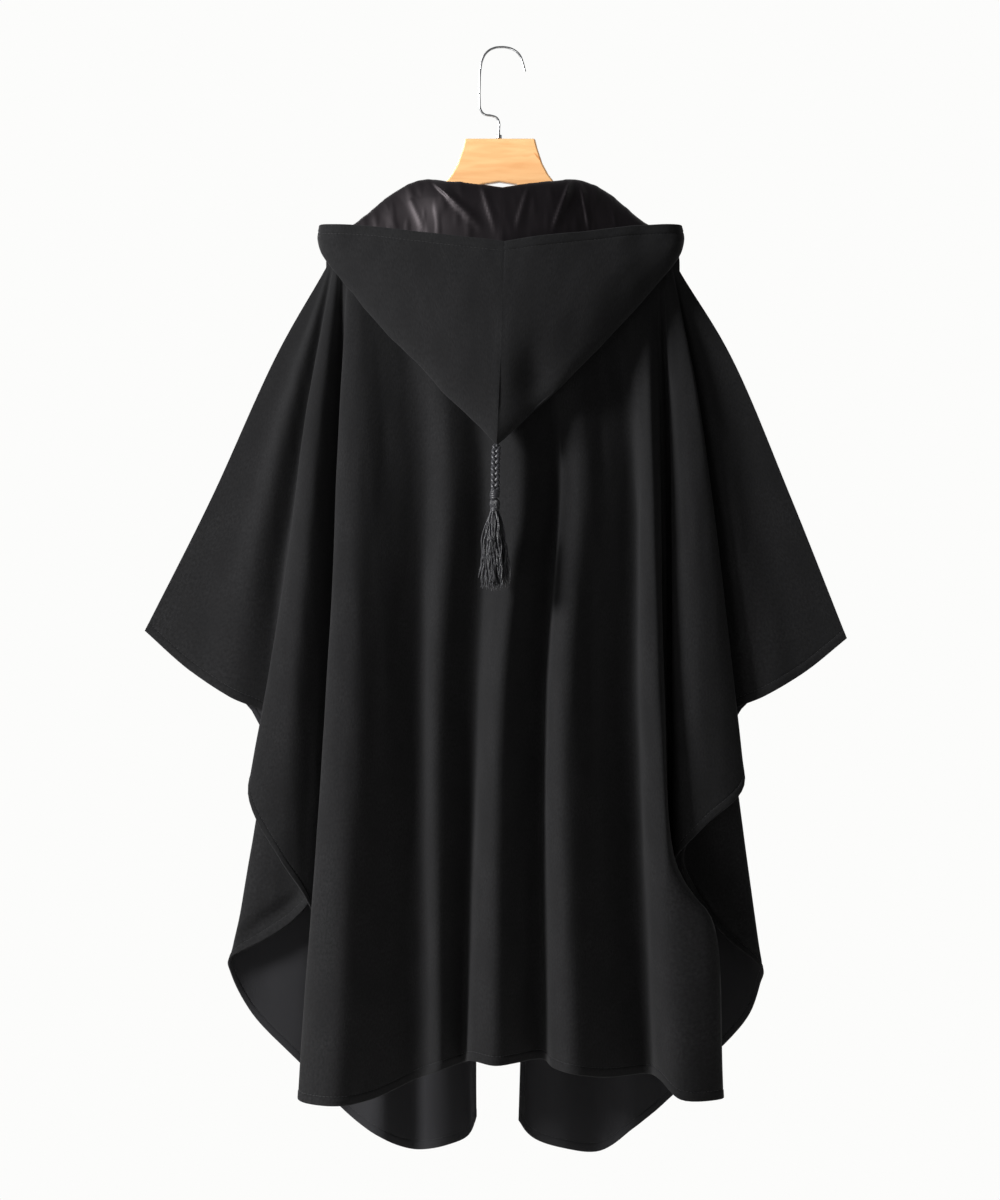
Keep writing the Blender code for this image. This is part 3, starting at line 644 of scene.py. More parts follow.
BACK_FOLDS = (
    Fold("left arm line", -208, ((-266, -1.25, -365), (-347, -1.25, -542), (-426, -1.25, -699))),
    Fold("left wing middle", -205, ((-261, -6, -416), (-321, -7, -596), (-376, -6, -743))),
    Fold("left wing ridge", -203, ((-249, -14, -423), (-294, -16, -614), (-323, -13, -778))),
    Fold("left wing valley", -201, ((-231, -7, -440), (-262, -5, -640), (-279, -5, -800))),
    Fold("left wing return", -199, ((-227, -13, -450), (-258, -13, -655), (-275, -13, -822))),
    Fold("left side ridge", -197, ((-230, -24, -439), (-256, -28, -650), (-299, -28, -893))),
    Fold("left side crown", -194, ((-216, -30, -460), (-235, -38, -674), (-262, -38, -968))),
    Fold("left side turn", -191, ((-202, -20, -477), (-214, -24, -710), (-231, -26, -1018))),
    Fold("left pleat back", -188, ((-189, -8, -489), (-193, -5, -734), (-197, -3, -1110))),
    Fold("left pleat front", -185, ((-185, -15, -489), (-187, -14, -740), (-192, -12, -1150))),
    Fold("left fall flank", -182, ((-188, -25, -489), (-196, -28, -757), (-224, -31, -1239))),
    Fold("left fall ridge", -179, ((-191, -36, -472), (-201, -54, -727), (-237, -62, -1250))),
    Fold("left fall crown", -172, ((-170, -42, -473), (-176, -64, -744), (-195, -88, -1253))),
    Fold("left fall shade", -158, ((-137, -32, -472), (-139, -48, -745), (-155, -62, -1251))),
    Fold("left centre valley", -138, ((-92, -19, -471), (-96, -22, -745), (-98, -28, -1231))),
    Fold("left centre crown", -108, ((-62, -31, -472), (-76, -42, -769), (-72, -52, -1218))),
    Fold("left centre dip", -72, ((-20, -17, -483), (-29, -19, -757), (-45, -24, -1213))),
    Fold("centre fall edge", -46, ((6, -34, -508), (-14, -47, -780), (-31, -54, -1206))),
    Fold("centre fall crown", -22, ((25, -42, -496), (1, -59, -780), (-6, -70, -1209))),
    Fold("centre valley", 14, ((67, -17, -483), (51, -22, -769), (50, -28, -1208))),
    Fold("right centre edge", 43, ((77, -33, -484), (61, -50, -780), (64, -60, -1213))),
    Fold("right centre crown", 62, ((95, -41, -484), (75, -62, -780), (84, -78, -1217))),
    Fold("right centre shade", 80, ((124, -29, -484), (110, -44, -780), (125, -56, -1225))),
    Fold("right centre valley", 104, ((158, -17, -483), (160, -20, -781), (175, -25, -1226))),
    Fold("right fall ridge", 156, ((169, -34, -472), (170, -50, -768), (188, -62, -1226))),
    Fold("right fall crown", 175, ((180, -38, -472), (187, -58, -768), (211, -84, -1246))),
    Fold("right fall shade", 182, ((187, -28, -472), (194, -46, -769), (206, -52, -970), (228, -56, -1010),
                                   (251, -57, -1042), (262, -58, -1249))),
    Fold("right fall flank", 186, ((190, -18, -471), (194, -23, -850), (198, -27, -985),
                                   (205, -30, -1085), (222, -32, -1245))),
    Fold("right pleat front", 189, ((194, -14, -474), (198, -14, -850), (200, -14, -1010))),
    Fold("right pleat back", 192, ((198, -6, -476), (201, -6, -850), (203, -6, -1004))),
    Fold("right pleat end", 195, ((204, -7, -476), (207, -7, -850), (208, -7, -985))),
    Fold("right side turn", 198, ((206, -23, -471), (208, -33, -710), (208, -36, -968))),
    Fold("right side crown", 201, ((219, -28, -460), (234, -42, -686), (243, -44, -929))),
    Fold("right side ridge", 204, ((235, -24, -424), (264, -30, -650), (290, -30, -883))),
    Fold("right wing return", 206, ((230, -13, -438), (256, -13, -655), (273, -14, -812))),
    Fold("right wing valley", 208, ((234, -7, -430), (261, -6, -640), (279, -6, -795))),
    Fold("right wing ridge", 210, ((244, -12, -423), (282, -16, -614), (316, -13, -777))),
    Fold("right wing middle", 212, ((259, -6, -410), (317, -7, -596), (367, -6, -747))),
    Fold("right arm line", 215, ((276, -1.25, -368), (348, -1.25, -537), (416, -1.25, -708))),
)

LEFT_FRONT_FOLDS = (
    Fold("arm line", -208, ((-266, 1.25, -365), (-347, 1.25, -542), (-426, 1.25, -699))),
    Fold("wing middle", -204, ((-260, 7, -415), (-325, 7, -596), (-373, 6, -747))),
    Fold("wing inside", -200, ((-237, 5, -422), (-270, 3, -626), (-298, 2, -795))),
    Fold("side turn", -196, ((-210, 0, -458), (-235, -8, -710), (-254, -11, -961))),
    Fold("inner fold front", -192, ((-199, 2, -480), (-216, -3, -734), (-231, -5, -1000))),
    Fold("inner fold back", -188, ((-198, 9, -486), (-214, 5, -736), (-227, 4, -1020))),
    Fold("return upper", -185, ((-203, 14, -488), (-233, 13, -736), (-250, 12, -1012), (-252, 17, -1026),
                                (-249, 12, -1048))),
    Fold("return middle", -181, ((-209, 17, -490), (-252, 15, -742), (-280, 13, -1030), (-283, 18, -1046),
                                 (-281, 11, -1070))),
    Fold("return fold", -177, ((-214, 21, -493), (-265, 21, -759), (-318, 17, -1066), (-327, 17, -1096))),
    Fold("return behind", -174, ((-209, 27, -496), (-260, 28, -765), (-326, 26, -1113))),
    Fold("inner panel", -170, ((-197, 30, -505), (-238, 34, -783), (-301, 38, -1164))),
    Fold("side valley", -161, ((-182, 30, -505), (-200, 34, -807), (-240, 38, -1227))),
    Fold("side crown", -147, ((-160, 42, -504), (-168, 56, -833), (-189, 68, -1289))),
    Fold("middle valley", -128, ((-130, 30, -517), (-138, 38, -844), (-146, 46, -1316))),
    Fold("middle crown", -101, ((-100, 46, -516), (-103, 62, -858), (-106, 74, -1336))),
    Fold("inner valley", -84, ((-68, 38, -528), (-66, 46, -857), (-66, 52, -1327))),
    Fold("edge crown", -46, ((-41, 48, -540), (-42, 60, -870), (-38, 64, -1316))),
    Fold("front edge", -22, ((-22, 44, -553), (-30, 52, -882), (-29, 54, -1292))),
)

RIGHT_FRONT_FOLDS = (
    Fold("arm line", 215, ((276, 1.25, -368), (348, 1.25, -537), (416, 1.25, -708))),
    Fold("wing middle", 211, ((260, 7, -409), (320, 7, -596), (363, 6, -751))),
    Fold("wing inside", 207, ((241, 5, -422), (269, 3, -626), (290, 2, -793))),
    Fold("side turn", 203, ((220, 1, -458), (237, -3, -710), (249, -4, -916))),
    Fold("inner fold front", 200, ((210, 3, -480), (218, 0, -734), (222, 0, -960))),
    Fold("inner fold back", 196, ((208, 10, -486), (215, 8, -736), (220, 7, -985))),
    Fold("return upper", 193, ((212, 15, -488), (232, 14, -736), (236, 12, -1000), (237, 17, -1011),
                               (236, 13, -1022))),
    Fold("return middle", 189, ((220, 18, -490), (254, 16, -742), (271, 13, -1050), (272, 17, -1058),
                                (271, 12, -1067))),
    Fold("return fold", 184, ((226, 22, -493), (268, 21, -759), (313, 16, -1092), (316, 17, -1108))),
    Fold("return behind", 181, ((221, 28, -496), (262, 30, -765), (314, 28, -1128))),
    Fold("inner panel", 177, ((210, 31, -505), (245, 34, -783), (301, 38, -1168))),
    Fold("side valley", 168, ((196, 30, -505), (223, 34, -807), (243, 38, -1230))),
    Fold("side crown", 154, ((176, 42, -504), (189, 56, -833), (200, 66, -1279))),
    Fold("middle valley", 134, ((146, 30, -517), (154, 40, -844), (163, 48, -1305))),
    Fold("middle crown", 102, ((113, 46, -516), (116, 62, -858), (123, 74, -1338))),
    Fold("inner valley", 84, ((75, 38, -528), (73, 46, -857), (76, 52, -1330))),
    Fold("edge crown", 48, ((43, 48, -540), (40, 60, -870), (39, 64, -1319))),
    Fold("front edge", 22, ((24, 44, -553), (32, 52, -882), (23, 54, -1297))),
)

# The neckline, from the middle of the back over the arm to the throat, given for the right side.
BACK_NECKLINE = ((0, -32, -216), (30, -30, -212), (60, -23, -200), (80, -13, -185), (90, -6, -173),
                 (NECK_HALF, -0.2, -179.5))
FRONT_NECKLINE = ((NECK_HALF, 0.2, -179.5), (92, 7, -174), (84, 14, -188), (66, 26, -214),
                  (44, 35, -240), (22, 42, -268))

# The dropped hood, from the middle of the back round the arm's end to the throat, for the left side.
# Each section runs from the neck seam up to the roll, down the far wall, round the lower fold and
# up the near wall to the rim of the face opening.
HoodSection = namedtuple("HoodSection", "name seam stand roll back far fold near rim")
HOOD_SECTIONS = (
    HoodSection("centre seam", (0, -32, -215), (0, -31, -192), (3, -38, -175), (3, -47, -196),
                (1, -53, -330), (-4, -71, -478), (2, -83, -345), (5, -64, -240)),
    HoodSection("nape", (-40, -28.6, -208), (-46, -26, -188), (-60, -29, -167), (-64, -39, -186),
                (-61, -46, -310), (-57, -64, -423), (-54, -76, -322), (-50, -62, -233)),
    HoodSection("neck side", (-72, -18.5, -192), (-80, -16, -173), (-94, -17, -164),
                (-100, -28, -188), (-107, -37, -285), (-109, -52, -368), (-108, -63, -290),
                (-105, -51, -226)),
    HoodSection("on the arm", (-89, -7, -168.5), (-104, -9.5, -168), (-130, -12, -181),
                (-139, -20, -203), (-155, -28, -252), (-161, -38, -313), (-162, -48, -262),
                (-160, -37, -218)),
    HoodSection("back corner", (-98, -4.5, -170), (-119, -5, -178), (-160, -6, -206),
                (-185, -10, -223), (-200, -13, -236), (-209, -20, -252), (-212, -27, -237),
                (-210, -22, -214)),
    HoodSection("corner", (-102, 0.5, -171), (-122, 3, -180), (-160, 3, -206), (-186, 2, -221),
                (-203, 1, -229), (-212, 0, -238.5), (-219, -1, -229), (-216, -1, -214)),
    HoodSection("front corner", (-95, 6.5, -168.5), (-118, 10, -178), (-155, 12, -203),
                (-178, 15, -222), (-192, 18, -238), (-201, 25, -255), (-207, 32, -240), (-205, 28, -220)),
    HoodSection("front shoulder", (-75, 20, -201.6), (-91, 22, -189), (-113, 25, -195),
                (-133, 30, -212), (-145, 35, -238), (-152, 44, -262), (-158, 54, -247),
                (-156, 50, -228)),
    HoodSection("chest", (-50, 32.8, -232), (-59, 33, -224), (-72, 38, -221), (-82, 44, -233),
                (-90, 49, -250), (-96, 57, -266), (-101, 67, -257), (-100, 66, -242)),
    HoodSection("throat", (-22, 42, -267), (-25, 46, -266), (-28, 50, -268),
                (-30, 54, -270.5), (-31.5, 58, -273.5), (-33, 63, -276), (-34, 69, -277),
                (-35, 74, -276)),
)
FOLD_ROUND = (3.4, 1.2)  # half the width of the rounded lower fold, at the back and at the throat
NECK_RISE = {"back": 0.9, "throat": 3.4, "arm": 5.0}    # hood's edge above the panels' neckline
RISE_FROM, RISE_TO = 55.0, 88.0
RIGHT_REACH = 1.008      # the right corner stands slightly further out than the left
ROUTE_POINTS = 9         # a section's points, its lower fold split in two
LINING_POINTS = 5        # the lining follows a section from the seam to its far wall
CORNER_SECTION = 5       # sections from here on belong to the front of the neckline

# The hook's wire from its free end round the top bend to its foot, as (across, height)
HOOK_ROUTE = ((30, -28), (27.5, -18), (23.5, -8), (16, -1.6), (8, 1.0), (0, 1.4), (-7, 0.4), (-15, -4),
              (-20.5, -12), (-23.5, -25), (-24.5, -45), (-24.5, -62), (-23.5, -73), (-19, -79),
              (-10, -81), (-4, -83.5), (-1.2, -89), (-1.2, -98), (-1.2, -104))


# How the cloth is cut and laid

def arm_height(across: float) -> float:
    """Return the height of the top edge of the hanger's arm.

    Args:
        across: place across, in millimetres.

    Returns:
        The height in millimetres.
    """
    return ARM_TOP - (abs(across) - ARM_START) * ARM_SLOPE


def neckline(table: Sequence, across: float) -> Array:
    """Return a point of the neckline.

    Args:
        table: the neckline's points for the right side.
        across: distance from the middle, in millimetres.

    Returns:
        The point in millimetres.
    """
    rows = np.array(sorted(table), dtype=float)
    place = np.interp(across, rows[:, 0], np.arange(len(rows)))
    return catmull(rows, np.array([place]))[0]


def seam_points(across: float, side: int) -> list[tuple[float, float, float]]:
    """Return the four points that take a fold line over the arm, or down from the neckline.

    Args:
        across: place across at the shoulder seam.
        side: -1 for the back panel and +1 for a front.

    Returns:
        The points in millimetres, from the seam down.
    """
    if abs(across) < NECK_HALF:
        _, depth, height = neckline(BACK_NECKLINE if side < 0 else FRONT_NECKLINE, abs(across))
        out = abs(depth)
        clear = ramp(out, ARM_SIDE / 2, CLEAR_RUN)
        return [(across, side * max(out + turn.further, turn.least),
                 height - turn.near_fall - (turn.clear_fall - turn.near_fall) * clear)
                for turn in NECK_TURNS]
    end = SHOULDER_LEFT if across < 0 else SHOULDER_RIGHT
    inward = ramp(abs(end - across), 0, END_RUN)
    height = arm_height(across) + SEAM_RISE
    return [(across, side * (past + (depth - past) * inward),
             height - end_fall - (fall - end_fall) * inward)
            for (depth, fall), (past, end_fall) in zip(OVER_ARM, PAST_ARM)]


@dataclass
class Hem:
    """A turned hem: the cloth is folded under once and topstitched."""

    width: float = 11.0          # from the edge to the stitching, in millimetres
    swell: float = 0.45          # half the extra thickness of the turned layer
    dip: float = 0.25            # the stitching pulls the faces together
    stitch_row: int = -8         # the row of distances() that lies under the stitching

    def distances(self) -> Array:
        """List where a hem is modelled.

        Returns:
            Distances from the edge in millimetres, from the inside out.
        """
        beside = self.width + np.array([9, 4, 1.3, 0.5, 0.0, -0.5, -1.5])
        return np.concatenate([beside, [self.width * 0.6, self.width * 0.3, 1.6, 0.7, 0.0]])

    def thickness(self, distance: Array) -> Array:
        """Return how a hem changes the cloth's half thickness.

        Args:
            distance: distances from the edge in millimetres.

        Returns:
            The change at each, in millimetres.
        """
        places = [0.0, 0.7, 1.6, self.width - 1.5, self.width, self.width + 1.3, self.width + 4]
        change = [-0.45, self.swell * 0.7, self.swell, self.swell, -self.dip, 0.0, 0.0]
        return np.interp(distance, places, change)


def face_lines(grid: Array, half: Array, columns: Array | slice,
               rows: Array | int) -> list[tuple[Array, Array]]:
    """Follow a line on both faces of a cloth.

    Args:
        grid: middle of the cloth in millimetres.
        half: half its thickness at each point.
        columns: the columns that the line takes.
        rows: the row that it follows, or its row in each column.

    Returns:
        For each face its points and its normals along the line.
    """
    middle, normal, away = grid[columns, rows], normals_of(grid)[columns, rows], half[columns, rows]
    return [(middle + normal * (face * away)[:, None], normal * face) for face in (-1, 1)]


@dataclass
class Stitches:
    """A row of lockstitches: short thread humps in a line."""

    length: float = 3.4
    gap: float = 1.1
    height: float = 0.34
    width: float = 0.42
    lift: float = 0.05           # height of a hump's middle over the cloth
    ring: Sequence = ((-1.0, 0.0), (-0.5, 0.9), (0.5, 0.9), (1.0, 0.0), (0.0, -0.6))
    profile: Sequence = ((-0.5, 0.35), (-0.3, 1.0), (0.3, 1.0), (0.5, 0.35))     # (place, size)

    def hump(self, middle: Array, up: Array) -> list[tuple[float, float, float]]:
        """Round one stitch.

        Args:
            middle: its middle line, one point for each place of the profile, in millimetres.
            up: the cloth's normals there.

        Returns:
            Its points in metres, ring by ring.
        """
        ahead = middle[-1] - middle[0]
        side = np.cross(up, ahead / max(np.linalg.norm(ahead), 1e-6))
        return [tuple((centre + aside * x * self.width / 2 * size
                       + raised * (y * self.height * size + self.lift)) * MM)
                for (_, size), centre, raised, aside in zip(self.profile, middle, up, side)
                for x, y in self.ring]

    def walls(self, start: int) -> list[tuple[int, ...]]:
        """Join the rings of one stitch and close its ends.

        Args:
            start: index of its first point.

        Returns:
            Its faces.
        """
        count = len(self.ring)
        rings = [[start + ring * count + i for i in range(count)] for ring in range(len(self.profile))]
        faces = [(low[i], low[(i + 1) % count], high[(i + 1) % count], high[i])
                 for low, high in zip(rings, rings[1:]) for i in range(count)]
        return [*faces, tuple(reversed(rings[0])), tuple(rings[-1])]

    def sew(self, name: str, lines: Sequence[tuple[Array, Array]]) -> bpy.types.Object:
        """Make one piece of all the stitches along some lines.

        Args:
            name: the piece's name.
            lines: each line's points on the cloth's face and the face's normals there, in millimetres.

        Returns:
            The stitches.
        """
        points, faces = [], []
        pitch = self.length + self.gap
        for line, normal in lines:
            reached = np.concatenate([[0.0], np.cumsum(np.linalg.norm(np.diff(line, axis=0), axis=1))])
            for number in range(int(reached[-1] / pitch)):
                at = [(number + 0.5) * pitch + share * self.length for share, _ in self.profile]
                middle, up = (np.stack([np.interp(at, reached, values[:, axis])
                                        for axis in range(3)], axis=1) for values in (line, normal))
                faces += self.walls(len(points))
                points += self.hump(middle, up)
        mesh = bpy.data.meshes.new(name)
        mesh.from_pydata(points, [], faces)
        face_outward(mesh)
        return link_mesh(name, mesh, Finishes.THREAD)


@dataclass
class BodyPanel:
    """The back or one front of the poncho, hung from the shoulder seam in its folds."""

    name: str
    folds: Sequence[Fold]
    side: int                            # -1 for the back, +1 for a front
    flat: tuple[float, float]            # the cut's width and length in metres
    seed: int
    edge_hem: bool = False               # the last column is an open, hemmed edge
    columns: int = 8                     # to each gap between fold lines
    edge_columns: int = 18               # to the last gap, where it ends in a hemmed edge
    seam_rows: int = 13                  # over the arm
    rows: int = 84                       # from there down to the hem
    hem: Hem = field(default_factory=Hem)
    hem_reach: float = 40.0              # the hem of an open edge ends within this distance of it
    ripple: float = 0.9                  # height of the cloth's slight waves
    waves: Sequence = (((70, 90, 420), 0.7), ((26, 60, 150), 0.3))       # their lengths and shares
    still: int = 12                      # rows from the seam, and columns from an edge, that stay smooth
    fade_rows: int = 16                  # rows over which the waves then grow

    def grid(self) -> tuple[Array, Array]:
        """Loft the folds into a grid.

        Returns:
            The middle of the cloth in millimetres, and each point's distance from the hem.
        """
        lines, left = [], []
        for fold in self.folds:
            start = seam_points(fold.across, self.side)[-1]
            knots = np.array([start, *fold.points], dtype=float)
            length = np.linalg.norm(np.diff(knots, axis=0), axis=1).sum()
            hem = self.hem.distances()
            falls = np.concatenate([np.linspace(0, length - hem[0], self.rows)[1:-1], length - hem])
            lines.append(along(knots, falls / length))
            left.append(length - falls)
        places = self.places()
        grid = catmull(np.stack(lines), places)
        numbers = np.arange(len(left))
        distance = np.stack([np.interp(places, numbers, row) for row in np.stack(left).T], axis=1)
        across = catmull(np.array([[f.across, 0.0, 0.0] for f in self.folds]), places)[:, 0]
        seams = []
        for place in across:
            knots = np.array(seam_points(place, self.side))
            seams.append(catmull(knots, np.linspace(0, len(knots) - 1, self.seam_rows)))
        seams = np.stack(seams)
        grid = np.concatenate([seams, grid], axis=1)
        distance = np.concatenate([np.full(seams.shape[:2], BEYOND), distance], axis=1)
        return self.rippled(grid, distance), distance

    def places(self) -> Array:
        """Space the columns, closer together near an open edge.

        Returns:
            The columns' places among the folds.
        """
        count = len(self.folds) - 1
        inner = np.linspace(0, count - 1, (count - 1) * self.columns + 1)
        columns = self.edge_columns if self.edge_hem else self.columns
        return np.concatenate([inner, np.linspace(count - 1, count, columns + 1)[1:]])

    def rippled(self, grid: Array, distance: Array) -> Array:
        """Add the slight waves of heavy cloth, none at the seam and at the panel's sewn edges.

        Args:
            grid: the smooth middle of the cloth.
            distance: each point's distance from the hem.

        Returns:
            The waved grid.
        """
        columns, rows = (np.arange(count) for count in grid.shape[:2])
        inward = columns if self.edge_hem else np.minimum(columns, columns[::-1])
        fade = ramp(rows, self.still, self.fade_rows)[None, :] * ramp(inward, 0, self.still)[:, None]
        wave = layered_noise(grid, self.waves, self.seed)
        return grid + normals_of(grid) * (wave * fade * self.ripple)[..., None]

    def from_edge(self, grid: Array) -> Array:
        """Measure how far the columns lie from the open edge.

        Args:
            grid: middle of the cloth.

        Returns:
            The distances, from the column beside the edge inward, in millimetres.
        """
        return np.cumsum(np.linalg.norm(np.diff(grid, axis=0), axis=-1)[::-1], axis=0)

    def build(self) -> bpy.types.Object:
        """Make the panel and its stitching.

        Returns:
            The panel.
        """
        grid, distance = self.grid()
        half = CLOTH / 2 + self.hem.thickness(distance)
        if self.edge_hem:
            aside = np.concatenate([self.from_edge(grid)[::-1], np.zeros((1, grid.shape[1]))])
            turned = np.minimum(half, CLOTH / 2 + self.hem.thickness(aside))
            half = np.where(aside < self.hem_reach, turned, half)
        piece = shell(self.name + "_cloth", grid, -half, half, Finishes.WOOL, inside=-self.side)
        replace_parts(piece, self.name)
        self.sew(grid, half)
        return piece

    def sew(self, grid: Array, half: Array) -> bpy.types.Object:
        """Sew the hem on both faces.

        Args:
            grid: middle of the cloth.
            half: half its thickness.

        Returns:
            The stitching.
        """
        row = grid.shape[1] + self.hem.stitch_row
        lines = face_lines(grid, half, slice(None), row)
        if self.edge_hem:
            rows = np.arange(self.seam_rows + 1, row)
            aside = self.from_edge(grid)
            column = np.array([len(grid) - 2 - int(np.searchsorted(aside[:, at], self.hem.width))
                               for at in rows])
            lines += face_lines(grid, half, column, rows)
        return Stitches().sew(self.name + "_stitches", lines)


@dataclass(frozen=True)
class Crease:
    """A sharp fold line pressed into the lining."""

    start: tuple[float, float]       # across and height of one end
    stop: tuple[float, float]        # across and height of the other end
    width: float                     # width of its gentle side
    share: float                     # its height as a share of the lining's deepest crease
    steep: float = 0.3               # width of its other side, as a share of the gentle one
    tail: float = 0.35               # both ends fade over this share of its length, from this height
    sharpness: float = 1.5           # power of its sides

    def height(self, grid: Array) -> Array:
        """Return how far the crease lifts each point of the lining.

        Args:
            grid: the lining in millimetres.

        Returns:
            Shares of the deepest crease.
        """
        run = np.array(self.stop, dtype=float) - np.array(self.start, dtype=float)
        length = float(np.linalg.norm(run))
        run /= length
        away = grid[..., [0, 2]] - np.array(self.start)
        on = away @ run
        aside = away @ np.array([-run[1], run[0]])
        side = np.where(aside > 0, 1 - aside / self.width, 1 + aside / (self.steep * self.width))
        ends = np.clip(np.minimum(on, length - on) / (self.tail * length) + self.tail, 0, 1)
        return self.share * np.clip(side, 0, 1) ** self.sharpness * ends


LINING_CREASES = (Crease((-78, -168), (-24, -222), 14, 1.0), Crease((-110, -176), (-88, -226), 26, 0.35),
                  Crease((-140, -180), (-122, -224), 24, 0.3), Crease((-24, -166), (-6, -224), 14, 0.5),
                  Crease((82, -166), (60, -226), 12, 1.0), Crease((94, -166), (105, -226), 14, 0.6),
                  Crease((34, -170), (18, -224), 14, 0.6), Crease((128, -176), (138, -226), 16, 0.4))


@dataclass
class Hood:
    """The pointed hood dropped on the back: two wool halves, a centre seam and a satin lining."""

    sections: Sequence = HOOD_SECTIONS
    per_span: int = 9                # rows from one point of a section to the next
    steps: int = 9                   # columns from one section to the next
    seam_columns: Sequence = (0.0, 0.012, 0.03, 0.06)            # and closer beside the centre seam
    rim: Hem = field(default_factory=lambda: Hem(width=12.0, swell=0.45, dip=0.5))
    rim_share: float = 0.85          # the rim's hem takes at most this share of the last span
    rim_rows: int = 6                # rows from the last span's start to the hem, with both ends
    closed_gap: float = 0.02         # half the gap left between the halves at the centre seam
    seam_sink: float = 0.35          # the seam draws the cloth in by this much
    seam_shares: Sequence = (1.0, 0.8, 0.3)                      # in the columns beside it
    seam_fade: float = 30.0          # and fades over this height above the place where it turns round
    sag: float = 1.5                 # soft unevenness of the hanging cloth
    slack: Sequence = (((110, 200 / 0.3, 170), 1.0), ((46, 90, 80), 0.45))     # its lengths and shares
    slack_seed: int = 5
    slack_rows: float = 0.2          # it starts this share of a section up, and grows over as much
    slack_columns: int = 10          # and it grows over this many columns from the centre seam
    round_from: float = -285.0       # below this height the cloth runs round over the centre seam
    round_to: float = -470.0         # and above this one
    round_fade: tuple[float, float] = (50.0, 40.0)
    round_width: float = 15.0
    outer: tuple[float, float] = (5.6, 0.8)          # where the near wall starts, and over how much
    hollow: tuple[float, float, float] = (38.0, 0.0, -408.0)     # the cloth sinks in beside the tip
    hollow_size: tuple[float, float] = (26.0, 34.0)
    hollow_fade: tuple[float, float] = (10.0, 44.0)              # and less towards the centre seam
    hollow_depth: float = 8.0
    cut: tuple[float, float] = (0.36, 0.52)

    def route(self, section: HoodSection, side: int) -> Array:
        """Return a section's points for one half, its lower fold split in two so that it turns round.

        Args:
            section: the section of the left half.
            side: -1 for the left half and +1 for the right.

        Returns:
            The points in millimetres.
        """
        route = np.array(section[1:], dtype=float)
        if section is self.sections[0]:
            route[:, 0] += side * self.closed_gap
        elif side > 0:
            route[:, 0] *= -RIGHT_REACH
        far, fold, near = route[4:7]
        across = np.array([near[0] - far[0], near[1] - far[1], 0.0])
        across *= FOLD_ROUND[section.name == "throat"] / np.linalg.norm(across)
        return np.concatenate([route[:5], [fold - across, fold + across], route[6:]])

    def rows(self, route: Array, points: int) -> Array:
        """Return where a section is sampled, closer together in the turned hem of the rim.

        Args:
            route: the section's points.
            points: how many of them are followed.

        Returns:
            Places among the points.
        """
        if points < len(route):
            return np.linspace(0, points - 1, (points - 1) * self.per_span + 1)
        fine = np.linspace(points - 2, points - 1, 60)
        step = np.linalg.norm(np.diff(catmull(route, fine), axis=0), axis=1)
        left = np.concatenate([np.cumsum(step[::-1])[::-1], [0.0]])
        hem = self.rim.distances()
        hem = hem * min(1.0, self.rim_share * left[0] / hem[0])
        edge = np.interp(-hem, -left, fine)
        body = np.linspace(0, points - 2, (points - 2) * self.per_span + 1)
        return np.concatenate([body, np.linspace(points - 2, edge[0], self.rim_rows)[1:-1], edge])

    def grid(self, side: int, points: int) -> Array:
        """Return one half as a grid, its lower edge on the neckline.

        Args:
            side: -1 for the left half and +1 for the right.
            points: how many of a section's points are followed.

        Returns:
            The middle of the cloth in millimetres.
        """
        lines = []
        for section in self.sections:
            route = self.route(section, side)
            lines.append(catmull(route, self.rows(route, points)))
        count = len(lines) - 1
        places = np.concatenate([self.seam_columns, np.linspace(0, count, count * self.steps + 1)[1:]])
        grid = catmull(np.stack(lines), places)
        blend = np.linspace(1, 0, self.per_span + 1)[:, None]
        for place, column in zip(places, grid):
            if abs(column[0, 0]) < RISE_TO:
                foot = self.foot(column[0, 0], place < CORNER_SECTION)
                column[:self.per_span + 1] += (foot - column[0]) * blend
        return grid

    def foot(self, across: float, behind: bool) -> Array:
        """Return where the hood's edge stands over the panels' neckline.

        Args:
            across: place across, in millimetres.
            behind: whether it stands on the back's neckline.

        Returns:
            The point in millimetres.
        """
        table = BACK_NECKLINE if behind else FRONT_NECKLINE
        reach = max(abs(across), min(row[0] for row in table))
        _, depth, height = neckline(table, reach)
        base = NECK_RISE["back" if behind else "throat"]
        lifted = ramp(reach, RISE_FROM, RISE_TO - RISE_FROM)
        return np.array([math.copysign(reach, across), depth,
                         height + base + (NECK_RISE["arm"] - base) * lifted])

    def hung(self, grid: Array) -> Array:
        """Let the wool sag between the seam, the neck and the rim, and sink in beside the tip.

        Args:
            grid: the middle of one half's cloth in millimetres.

        Returns:
            The changed grid.
        """
        columns, rows = (np.arange(count) for count in grid.shape[:2])
        fade = (ramp(rows / rows[-1], self.slack_rows, self.slack_rows)[None, :]
                * ramp(columns, 0, self.slack_columns)[:, None])
        wave = layered_noise(grid, self.slack, self.slack_seed)
        moved = grid + normals_of(grid) * (wave * fade * self.sag)[..., None]
        fixed = len(self.seam_columns)
        moved[:fixed] = grid[:fixed]
        low = (ramp(moved[..., 2], self.round_from, -self.round_fade[0])
               * ramp(moved[..., 2], self.round_to, self.round_fade[1]))
        outer = ramp(rows / self.per_span, *self.outer)[None, :]
        across = np.abs(moved[..., 0])
        reach = 2 * self.round_width
        slope = np.array([np.interp(reach, across[:, row], moved[:, row, 1]) - moved[0, row, 1]
                          for row in rows]) / reach
        middle = np.sqrt(across ** 2 + self.round_width ** 2) - across
        moved[..., 1] += low * outer * middle * slope
        across, _, height = (moved - np.array(self.hollow)).transpose(2, 0, 1)
        wide, high = self.hollow_size
        near = np.exp(-(across / wide) ** 2 - (height / high) ** 2)
        inner, run = self.hollow_fade
        moved[..., 1] += near * outer * ramp(across, -self.hollow[0] - inner, run) * self.hollow_depth
        return moved

